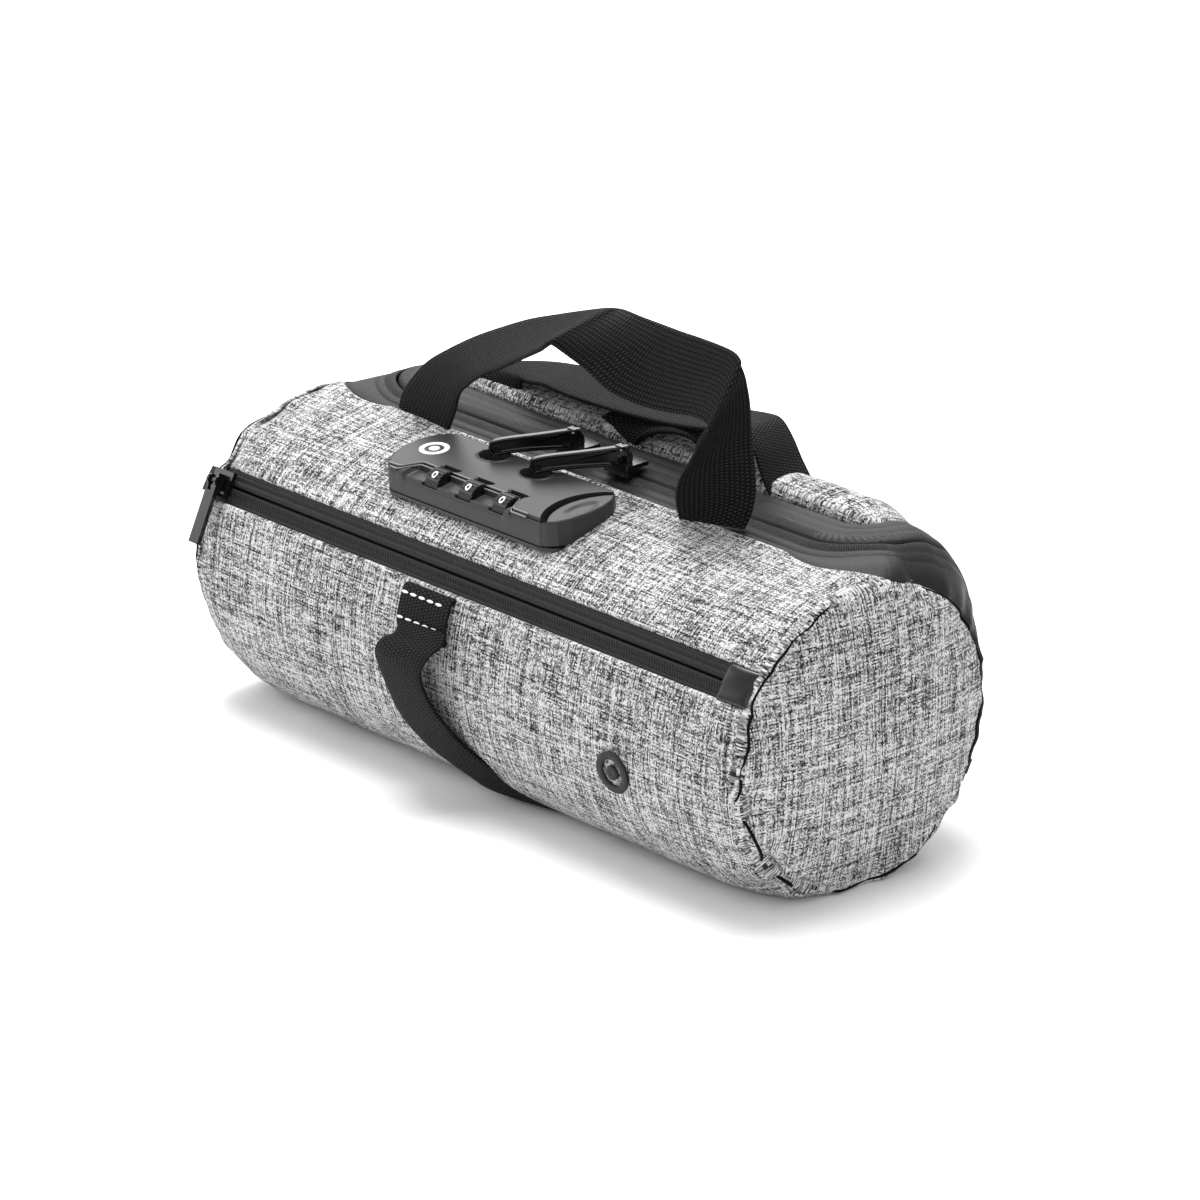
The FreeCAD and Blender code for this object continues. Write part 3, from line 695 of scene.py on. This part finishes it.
def tape_profile(d0, d1, edge, slit):
    """Cross-section of one zip half, from its sewn edge d0 to the slit d1."""
    sg = 1 if d1 > d0 else -1
    w = abs(d1 - d0)
    t = np.array([0, 0.07, 0.1, 0.2, 0.34, 0.36, 0.38, 0.5, 0.62, 0.66, 0.72, 0.8, 0.88, 0.94, 0.98, 1.0])
    h = np.array([edge, -0.9, -0.6, -0.4, -0.3, -0.45, -0.3, -0.25, -0.3, -0.4, -0.05, 0.12, 0.15, 0.1, -0.2, slit])
    top = [(d0 + sg * w * a, b) for a, b in zip(t, h)]
    return top + [(d1, slit - 1.2), (d0, edge - 1.2)]


def zip_half(name, path, d0, d1, s0, body, nodes, pitch=2.0, edge=-1.6):
    rings = strip(path, tape_profile(d0, d1, edge, -0.9), s0, wide=d0 < -8)
    v, f = tube(rings, flip=d1 > d0)
    n, k = rings.shape[:2]
    p = np.array(tape_profile(d0, d1, edge, -0.9))
    length = np.r_[0, np.cumsum(np.linalg.norm(np.diff(rings[:, 3], axis=0), axis=1))]
    uv = np.stack([np.repeat(p[None, :, 0], n, 0), np.repeat(length[:, None], k, 1)], -1).reshape(-1, 2)
    return make(name, v, f, TWILL, body, uv, nodes, "coated_zip_tape")


U = u_path()
SLIT_S = float(arc(A_SLIT))
zip_half("main_zip_bag_half", U, -TAPE_F - 2.0, -0.35, SLIT_S, "bag", ["main_zip_body_tape"])
zip_half("main_zip_lid_half", U, TAPE + 1.0, 0.35, SLIT_S, "lid", ["main_zip_lid_tape"])
line = np.array([(x, 0, 0, 1) for x in np.arange(-E0 + 1, E0 - 0.5, 2.0)], float)
POC_S = float(arc(A_POC))
zip_half("pocket_zip_lower_half", line, -POC_HALF - 1, -0.3, POC_S, "bag", ["pocket_zip_lower_tape"])
zip_half("pocket_zip_upper_half", line, POC_HALF + 1, 0.3, POC_S, "bag", ["pocket_zip_upper_tape"])


# ------------------------------------------------------------------ webbing
def webbing_band(name, rows, thick, material, body, nodes, slot, n=90, k=9, sag=0.0):
    """A webbing strap through rows of its two edges; sag rounds it across, mm at the middle."""
    rows = np.array([list(a) + list(b) for a, b in rows], float)
    mid = (rows[:, :3] + rows[:, 3:]) / 2
    path = smooth_path(np.hstack([mid, (rows[:, 3:] - rows[:, :3]) / 2]), n)
    c, h = path[:, :3], path[:, 3:]
    t = np.gradient(c, axis=0)
    nrm = np.cross(t, h)
    nrm /= np.linalg.norm(nrm, axis=1)[:, None]
    for _ in range(2):
        nrm[1:-1] = nrm[1:-1] * 0.5 + (nrm[:-2] + nrm[2:]) * 0.25
    nrm /= np.linalg.norm(nrm, axis=1)[:, None]
    w = 12.5
    a = np.linspace(-1, 1, k)
    e = 1 - 0.35 * thick / w
    prof = [(x * e, 0.5, 1 - x * x) for x in a] + [(1.0, 0.2, 0), (1.0, -0.2, 0)]
    prof += [(x * e, -0.5, 1 - x * x) for x in a[::-1]] + [(-1.0, -0.2, 0), (-1.0, 0.2, 0)]
    rings = np.array([[c[i] + h[i] * p + nrm[i] * (q * thick + b * sag) for p, q, b in prof] for i in range(len(c))])
    v, f = tube(rings)
    s = np.r_[0, np.cumsum(np.linalg.norm(np.diff(c, axis=0), axis=1))]
    uv = np.array([[(p * w, s[i]) for p, q, b in prof] for i in range(len(c))]).reshape(-1, 2)
    return make(name, v, f, material, body, uv, nodes, slot)


# rows of (one edge, other edge); each handle folds over slantwise at both shoulders
front = [((-88.6, 3.5, 95.6), (-61.5, 1.0, 95.0)), ((-86, 3.0, 101), (-58.5, 0.0, 99.5)),
         ((-80.5, 2.0, 107.3), (-54.6, -2.0, 104.0)), ((-70.7, 0.0, 115.4), (-48.5, -5.5, 111.5)),
         ((-60.8, -1.0, 121.6), (-39.7, -9.0, 117.7)), ((-47.6, -2.0, 128.9), (-29.9, -12.5, 123.5)),
         ((-34.7, -3.0, 135.1), (-17.5, -15.5, 129.6)), ((-18.4, -3.0, 142.2), (-6.5, -18.0, 135.5)),
         ((-4.6, -3.0, 147.0), (-0.2, -20.0, 138.8)), ((9.0, -3.0, 151.5), (7.0, -21.5, 142.7)),
         ((18.0, -3.0, 154.2), (11.2, -22.5, 145.7)), ((21.5, -1.4, 154.6), (12.6, -21.0, 145.3)),
         ((31.3, -3.0, 155.2), (15.4, -18.0, 142.1)), ((40.1, -3.0, 154.9), (19.6, -14.5, 138.2)),
         ((48.8, -3.0, 154.6), (25.7, -10.0, 131.8)), ((57.5, -3.0, 154.6), (36.3, -7.5, 129.5)),
         ((65.3, -3.0, 154.4), (49.0, -7.0, 130.2)), ((71.7, -3.0, 153.8), (60.9, -8.0, 132.0)),
         ((74.6, -3.0, 152.2), (68.3, -9.4, 131.6)), ((75.6, -3.2, 150.2), (69.0, -10.6, 130.2)),
         ((75.2, -1.0, 145.4), (64.5, -9.5, 125.6)), ((74.9, 1.0, 138.1), (59.2, -8.0, 118.3)),
         ((73.8, 3.0, 128.1), (52.4, -6.0, 110.6)), ((72.9, 5.0, 118.0), (49.1, -4.5, 105.3)),
         ((72.5, 6.0, 108.8), (46.6, -2.2, 100.2)), ((71.3, 5.6, 101.6), (46.2, -1.0, 96.8)),
         ((69.5, 4.5, 96.2), (46.4, -0.6, 94.6))]
webbing_band("front_handle_webbing", front, 1.5, WEB, "front_carry_handle", ["front_handle"], "black_webbing", 260)
rear = [((-86.5, 31.0, 98.0), (-62.5, 31.0, 98.6)), ((-86.0, 31.0, 101.5), (-62.0, 31.5, 102.0)),
        ((-81.5, 34.0, 104.6), (-60.5, 30.5, 104.8)), ((-72.0, 41.0, 106.0), (-55.0, 28.5, 106.1)),
        ((-59.9, 47.0, 107.0), (-46.7, 27.0, 107.8)), ((-40.9, 48.0, 108.6), (-33.8, 26.0, 107.6)),
        ((-17.6, 48.0, 108.4), (-10.6, 26.0, 108.1)), ((5.3, 48.0, 110.1), (12.2, 26.5, 109.6)),
        ((23.2, 48.0, 112.0), (30.3, 26.5, 112.4)), ((36.2, 47.0, 113.9), (41.3, 26.5, 114.7)),
        ((41.5, 46.5, 113.6), (45.8, 26.5, 115.0)), ((46.5, 46.0, 109.6), (50.0, 26.5, 110.5)),
        ((51.0, 45.5, 104.3), (52.8, 27.0, 103.6)), ((57.2, 44.0, 99.6), (55.4, 27.5, 98.5)),
        ((61.0, 42.5, 98.0), (57.0, 27.8, 96.8))]
webbing_band("rear_handle_webbing", rear, 1.5, WEB, "rear_carry_handle", ["rear_handle"], "black_webbing", 170)
loopb = [((-27.9, 31.0, 97.6), (-4.9, 29.0, 97.2)), ((-25.4, 32.0, 101.0), (-1.9, 27.5, 100.0)),
         ((-20.6, 34.5, 103.9), (2.4, 26.0, 103.2)), ((-11.3, 37.0, 106.0), (8.5, 25.0, 106.4)),
         ((-0.9, 38.0, 107.6), (16.2, 25.0, 108.4)), ((10.9, 38.0, 108.4), (22.5, 26.0, 108.0)),
         ((20.5, 37.0, 106.5), (26.9, 26.5, 105.7)), ((26.8, 36.0, 102.8), (28.5, 27.0, 102.9)),
         ((28.8, 35.0, 98.6), (29.0, 28.0, 98.6))]
webbing_band("rear_loop_webbing", loopb, 1.6, WEB_COARSE, "lid", ["rear_loop"], "coarse_webbing", 90)
strap = [((-20.8, -54.3, 57.0), (1.2, -54.3, 58.4)), ((-20.2, -56.6, 53.4), (2.4, -57.4, 55.4)),
         ((-23.4, -59.4, 51.2), (1.4, -59.8, 53.6)), ((-24.8, -60.6, 47.6), (-0.4, -61.0, 50.8)),
         ((-25.6, -58.4, 41.9), (-2.6, -61.4, 46.6)), ((-24.6, -56.2, 35.2), (-2.5, -60.6, 41.5)),
         ((-22.6, -53.6, 27.1), (-0.5, -58.8, 35.4)), ((-20.3, -50.2, 20.9), (1.8, -55.6, 29.4)),
         ((-16.4, -46.6, 15.1), (3.9, -51.6, 23.4)), ((-10.9, -43.4, 10.9), (8.0, -47.2, 17.9)),
         ((-5.2, -40.6, 7.4), (12.6, -42.2, 12.9)), ((-0.6, -37.6, 4.0), (17.4, -37.0, 7.2)),
         ((3.3, -33.6, 2.0), (22.7, -32.0, 2.9)), ((5.6, -26.0, 1.3), (27.8, -26.0, 1.3)),
         ((6, 0, 1.0), (30, 0, 1.0)), ((6, 30, 1.0), (30, 30, 1.0)),
         ((6, 42, 2.2), (30, 42, 2.2)), ((6, 49, 10.5), (30, 49, 10.5))]
webbing_band("lash_strap_webbing", strap, 1.3, WEB, "bag", ["lash_strap"], "lash_webbing", 240, 9, 0.5)

# ------------------------------------------------------------------ small parts on the cloth
def ring_on_cloth(name, x0, a0, r0, r1, material, node, slot, n=64):
    """A flat printed ring round a point of the cloth, r0 to r1 mm."""
    t = np.linspace(0, 2 * math.pi, n, endpoint=False)
    s0 = float(arc(a0))
    prof = [(r0, 0.32), (r1, 0.32), (r1, -0.4), (r0, -0.4)]
    rings = np.stack([surf(x0 + r * np.cos(t), angle_at(s0 + r * np.sin(t)), 0.7 + h) for r, h in prof], 1)
    v, f = tube(rings, close=True)
    return make(name, v, f, material, "bag", v[:, :2], [node], slot)


ring_on_cloth("emblem_ring", 74.0, -14.0, 4.3, 6.6, BLACK_INK, "emblem_patch", "black_print")
ring_on_cloth("emblem_dot", 74.0, -14.0, 0.02, 2.3, BLACK_INK, "emblem_patch", "black_print", 32)

xa = np.linspace(E0 - 13.0, E0 - 0.2, 14)
aa = angle_at(np.linspace(POC_S - POC_HALF - 0.4, POC_S + POC_HALF + 0.4, 14))
XA, AA = np.meshgrid(xa, aa, indexing="ij")
lift = 0.75 - 0.5 * step(np.abs(np.linspace(-1, 1, 14))[None, :] + 0 * XA, 0.8, 1.0) - 1.6 * step(XA, E0 - 2, E0)
v, f = slab(surf(XA, AA, lift), surf(XA, AA, -1.5))
make("pocket_zip_end_cover", v, f, RUBBER, "bag", np.vstack([np.stack([XA, AA], -1).reshape(-1, 2)] * 2),
     ["pocket_zip_end_patch"], "coated_zip_tape")

tab = []
for a, off in ((21.2, 0.6), (20.6, 1.9), (18.5, 2.2), (15.0, 2.3), (11.5, 2.3), (8.8, 2.1), (6.8, 1.2), (5.5, 1.6)):
    p = surf(np.array([-22.6, -0.4]), np.array([a, a]), off)
    tab.append((tuple(p[0]), tuple(p[1])))
webbing_band("lash_tab_webbing", tab, 1.5, WEB, "bag", ["lash_tab_front"], "lash_webbing", 40)


def stitches(name, row, length, wide, high, material, body, slot):
    """Short rounded stitches, one at each (middle, direction along, direction out)."""
    verts, faces = [], []
    for mid, along, out in row:
        side = np.cross(out, along)
        side /= np.linalg.norm(side)
        rings = []
        for t in np.linspace(-1, 1, 7):
            k = math.sqrt(max(1 - t * t, 0.04))
            rings.append([mid + along * (t * length / 2) + (side * (math.cos(q) * wide / 2)
                          + out * (math.sin(q) * high / 2)) * k for q in np.linspace(0, 2 * math.pi, 8, endpoint=False)])
        v, f = tube(np.array(rings))
        faces += [tuple(i + sum(len(x) for x in verts) for i in q) for q in f]
        verts.append(v)
    v = np.vstack(verts)
    return make(name, v, faces, material, body, v[:, :2], (), slot)


row = []
for a in (18.6, 10.4):
    for x in np.arange(-20.6, -1.5, 3.9):
        p, q = surf(np.array([x, x]), np.array([a, a]), np.array([3.0, 4.0]))
        row.append((p, np.array([1.0, 0, 0.04]), (q - p) / np.linalg.norm(q - p)))
stitches("lash_tab_stitches", row, 2.9, 0.95, 0.8, THREAD, "bag", "white_inlay")

# ------------------------------------------------------------------ the lock
TILT = math.radians(5.0)
DIAL_V, DIAL_W, DIAL_R, PITCH = -9.9, 6.3, 4.6, 15.6


def lock_point(u, v, w):
    """A point in the lock's own axes (along, towards the back, up), mm."""
    u, v, w = np.broadcast_arrays(u, v, w)
    c, sn = math.cos(TILT), math.sin(TILT)
    return np.stack([u - 14.0, v * c - w * sn - 18.9, v * sn + w * c + 87.2], -1)


def left_end(v):
    return np.interp(v, [-15.5, -14.5, -12, -8, -2, 5, 10, 13.2, 14.8, 15.5],
                     [-33, -35.6, -38.3, -41, -42.8, -43, -41.6, -38.8, -36, -33])


def right_end(v):
    return np.interp(v, [-15.5, -14.6, -12.5, -8, -2, 5, 10, 13.2, 14.8, 15.5],
                     [35.5, 38.2, 40.4, 42.2, 43, 42.5, 40.8, 38.3, 35.8, 33])


def notch(v):
    return np.minimum(44.5 - 15 * np.sqrt(np.clip(1 - ((v + 1) / 17.0) ** 2, 0, 1)), right_end(v) - 0.2)


def bar(x, a, b, soft=0.25):
    return step(x, a - soft, a + soft) * (1 - step(x, b - soft, b + soft))


def lock_heights(u, v, edge):
    """Height of the housing's top: cover, double line, dial window, pull mouths."""
    window = step(u, -31.0, -26.0) * (1 - step(u, 17.5, 23.0))
    line = -13.9 + 6.6 * window
    e = v - line
    w = 10.0 - 0.25 * (v / 15.0) ** 2
    w = w - 0.7 * (1 - step(e, -0.3, 0.05)) - 0.75 * bar(e, -0.75, -0.3, 0.12) - 0.7 * bar(e, -1.75, -1.3, 0.12)
    floor_w = 7.3 + 0.12 * (v + 14)
    w = np.where((window > 0.5) & (e < -1.9), np.minimum(w, floor_w + 2.2 * (1 - step(window, 0.5, 1.0))), w)
    lip = bar(v, -14.95, -14.3, 0.12) * window
    w = w + 0.5 * lip * (window > 0.9)
    for k in (-1, 0, 1):
        pit = bar(u, k * PITCH - 3.5, k * PITCH + 3.5, 0.12) * bar(v, -14.85, -5.0, 0.12)
        w = w * (1 - pit) + 1.36 * pit
        frame_line = bar(u, k * PITCH - 4.3, k * PITCH + 4.3, 0.12) * bar(v, -6.1, -5.0, 0.15)
        w = w - 0.3 * frame_line * (1 - pit)
    for cu, cv in ((-13.2, 9.6), (7.6, 8.2)):
        q = np.hypot((u - cu) / 5.0, (v - cv) / 3.9)
        pit = 1 - step(q, 0.93, 1.07)
        w = w * (1 - pit) + 3.2 * pit
        w = w + 0.25 * bar(q, 1.07, 1.25, 0.05)
    return w - (1.6 - np.sqrt(np.clip(1.6 ** 2 - np.clip(1.6 - edge, 0, 1.6) ** 2, 0, None)))


def lock_block(name, lo, hi, heights, bottom, nu, nv, node, body, vmax):
    v = np.linspace(-vmax, vmax, nv)
    if nv > 100:
        v = np.r_[np.linspace(-vmax, -4.5, 74), np.linspace(-4.5, vmax, 42)[1:]]
        nv = len(v)
    t = np.linspace(0, 1, nu)
    U = lo(v)[None, :] + (hi(v) - lo(v))[None, :] * t[:, None]
    V = np.repeat(v[None, :], nu, 0)
    edge = np.minimum(np.minimum(V + vmax, vmax - V), heights[1](U, V))
    W = heights[0](U, V, edge)
    vv, ff = slab(lock_point(U, V, W), lock_point(U, V, np.full_like(W, bottom)))
    slot = "lock_base_plastic" if node == "lock_base_plate" else "lock_paint"
    paint = BLACK_PLASTIC if node == "lock_base_plate" else LOCK_PAINT
    o = make(name, vv, ff, paint, body, np.vstack([np.stack([U, V], -1).reshape(-1, 2)] * 2), [node], slot)
    o.data.set_sharp_from_angle(angle=math.radians(38))
    return o


lock_block("lock_cover", left_end, notch, (lock_heights, lambda u, v: (u - left_end(v)) * 0.8), 1.3, 250, 104,
           "lock_housing", "bag", 15.5)
lock_block("lock_press_end", lambda v: np.minimum(notch(v) + 2.7, right_end(v) - 0.6), right_end,
           (lambda u, v, e: 9.7 - (0.9 - np.sqrt(np.clip(0.81 - np.clip(0.9 - e, 0, 0.9) ** 2, 0, None)))
            - 0.6 * bar(np.hypot((u - 38.5) / 3.2, (v + 1) / 7.5), -1, 0.8, 0.25),
            lambda u, v: np.minimum(u - np.minimum(notch(v) + 2.7, right_end(v) - 0.6), right_end(v) - u)),
           1.7, 40, 90, "lock_button", "button", 15.1)
# the black base plate stands 0.35 mm proud of the cover all round: the plate's own black plastic, and its dark lip is
# also painted shade for the contact shadow under the lock
lock_block("lock_under_plate", lambda v: left_end(v) - 0.35, lambda v: right_end(v) + 0.35,
           (lambda u, v, e: np.full_like(u, 1.15), lambda u, v: u * 0 + 9), 0.0, 30, 40, "lock_base_plate", "bag", 15.9)


def highlight_line(name, back, height, r=0.28):
    """A fine light grey bead along the front of the cover that steps back round the dial window: a painted highlight on
    the cover's edge lines.
    """
    u = np.r_[np.linspace(-41.0, -32, 10), np.linspace(-31.5, -25.5, 22), np.linspace(-24, 16, 30), np.linspace(17, 23.5, 22),
              np.linspace(24.5, 29.5, 8)]
    v = -13.9 - back + 6.6 * step(u, -31.0, -26.0) * (1 - step(u, 17.5, 23.0))
    u = np.maximum(u, left_end(v) + 0.3)
    q = np.linspace(0, 2 * math.pi, 8, endpoint=False)
    v, f = tube(lock_point(u[:, None], v[:, None] + r * np.cos(q)[None, :], height + r * np.sin(q)[None, :]))
    return make(name, v, f, EDGE_HIGHLIGHT, "bag", None, [], "lock_paint")


highlight_line("lock_edge_highlight_upper", 0.0, 9.75)
highlight_line("lock_edge_highlight_lower", 1.15, 9.15)
o = make("lock_mark_ring", *tube(np.stack([lock_point(-32.0 + r * np.cos(np.linspace(0, 2 * math.pi, 60, endpoint=False)),
         1.5 + r * np.sin(np.linspace(0, 2 * math.pi, 60, endpoint=False)), h) for r, h in
         ((3.2, 10.12), (4.8, 10.12), (4.8, 9.7), (3.2, 9.7))], 1), close=True), WHITE_INK, "bag", None, ["lock_inlay"],
         "white_inlay")
o = make("lock_mark_dot", *tube(np.stack([lock_point(-32.0 + r * np.cos(np.linspace(0, 2 * math.pi, 40, endpoint=False)),
         1.5 + r * np.sin(np.linspace(0, 2 * math.pi, 40, endpoint=False)), h) for r, h in
         ((0.02, 10.12), (1.7, 10.12), (1.7, 9.7), (0.02, 9.7))], 1), close=True), WHITE_INK, "bag", None, ["lock_inlay"],
         "white_inlay")
for k, side in zip((-1, 0, 1), ("left", "middle", "right")):
    t = np.linspace(0, 2 * math.pi, 28, endpoint=False)
    loops = []
    for m, r in ((0.55, DIAL_R + 0.05), (1.0, DIAL_R + 0.05), (1.0, DIAL_R - 0.2), (0.55, DIAL_R - 0.2)):
        u = k * PITCH + 0.95 * m * np.cos(t)
        q = math.radians(58) + 1.35 * m * np.sin(t) / DIAL_R
        loops.append(lock_point(u, DIAL_V - r * np.cos(q), DIAL_W + r * np.sin(q)))
    v, f = tube(np.stack(loops, 1), close=True)
    make("dial_numeral_" + side, v, f, WHITE_INK, "dial_" + side, None, (), "white_inlay")


def puller(name, pivot, tip, body, node):
    """A cast pull on edge: an outline in its own upright plane, a raised rim and an eye at each end."""
    p, q = np.array(pivot, float), np.array(tip, float)
    length = np.linalg.norm(q - p)
    e1 = (q - p) / length
    n = np.array([-e1[1], e1[0], 0.0])
    n /= np.linalg.norm(n)
    e2 = np.cross(e1, n)
    e2 = e2 if e2[2] > 0 else -e2
    out = smooth_loop([(-2.9, -3.4), (-3.2, -1.0), (-2.6, 0.9), (-1.0, 1.7), (length * 0.3, 2.3), (length * 0.6, 2.9),
                       (length * 0.85, 3.4), (length + 0.6, 3.2), (length + 1.8, 1.9), (length + 2.1, 0.0),
                       (length + 1.2, -1.6), (length - 0.6, -1.7), (length * 0.7, -2.0), (length * 0.35, -3.2), (0.5, -4.4),
                       (-2.0, -4.2)], 110)
    mid = np.array([length / 2, 0.0])

    def inset(d):
        t = np.roll(out, -1, 0) - np.roll(out, 1, 0)
        nn = np.stack([-t[:, 1], t[:, 0]], 1) / np.linalg.norm(t, axis=1)[:, None]
        sg = np.sign(((mid - out) * nn).sum(1).mean())
        return out + nn * d * sg
    loops = []
    for d, h in ((1.25, 0.35), (0.95, 0.45), (0.75, 1.0), (0.25, 1.1), (0.0, 0.9), (0.0, -0.9), (0.25, -1.1),
                 (0.75, -1.0), (0.95, -0.45), (1.25, -0.35)):
        o2 = inset(d)
        loops.append(p + o2[:, :1] * e1 + o2[:, 1:] * e2 + n * h)
    v, f = tube(np.array(loops))
    parts_v, parts_f = [v], list(f)
    for sx, r in ((0.0, 1.75), (length - 0.4, 1.15)):
        t = np.linspace(0, 2 * math.pi, 28, endpoint=False)
        rings = []
        for r2, h in ((r * 0.45, 0.75), (r * 0.6, 1.15), (r * 0.95, 1.2), (r, 1.0), (r, -1.0), (r * 0.95, -1.2),
                      (r * 0.6, -1.15), (r * 0.45, -0.75)):
            rings.append(p + e1 * (sx + r2 * np.cos(t))[:, None] + e2 * (r2 * np.sin(t))[:, None] + n * h)
        v, f = tube(np.array(rings))
        base = sum(len(x) for x in parts_v)
        parts_f += [tuple(i + base for i in g) for g in f]
        parts_v.append(v)
    o = make(name, np.vstack(parts_v), parts_f, BLACK_METAL, body, None, [node], "black_pull_metal")
    o.data.set_sharp_from_angle(angle=math.radians(50))
    return o


puller("puller_left", (-12.0, 8.8, 104.4), (-27.0, -9.69, 99.6), "left_pull", "main_pull_left")
puller("puller_right", (10.0, 8.8, 104.4), (-6.29, -11.28, 99.6), "right_pull", "main_pull_right")

# ------------------------------------------------------------------ CAD nodes that keep their own form
FINISH = {BLACK_PLASTIC: ["lock_dial_left", "lock_dial_middle",
          "lock_dial_right", "main_zip_body_coil", "main_zip_lid_coil", "pocket_zip_lower_coil", "pocket_zip_upper_coil"],
          STEEL: ["lock_latch_bar", "lock_dial_axle", "lock_return_spring", "lock_screw_1", "lock_screw_2", "lock_screw_3"],
          BLACK_METAL: ["main_slider_left", "main_slider_right", "pocket_slider", "pocket_pull"],
          
          LINING: ["body_lining", "lid_lining", "pocket_pouch"],
          TWILL: ["pocket_zip_stop", "main_zip_right_stop", "main_zip_left_stop"],
          WEB: ["lash_tab_rear"]}
for m, names in FINISH.items():
    for n in names:
        NODES[n].data.materials.clear()
        NODES[n].data.materials.append(m)
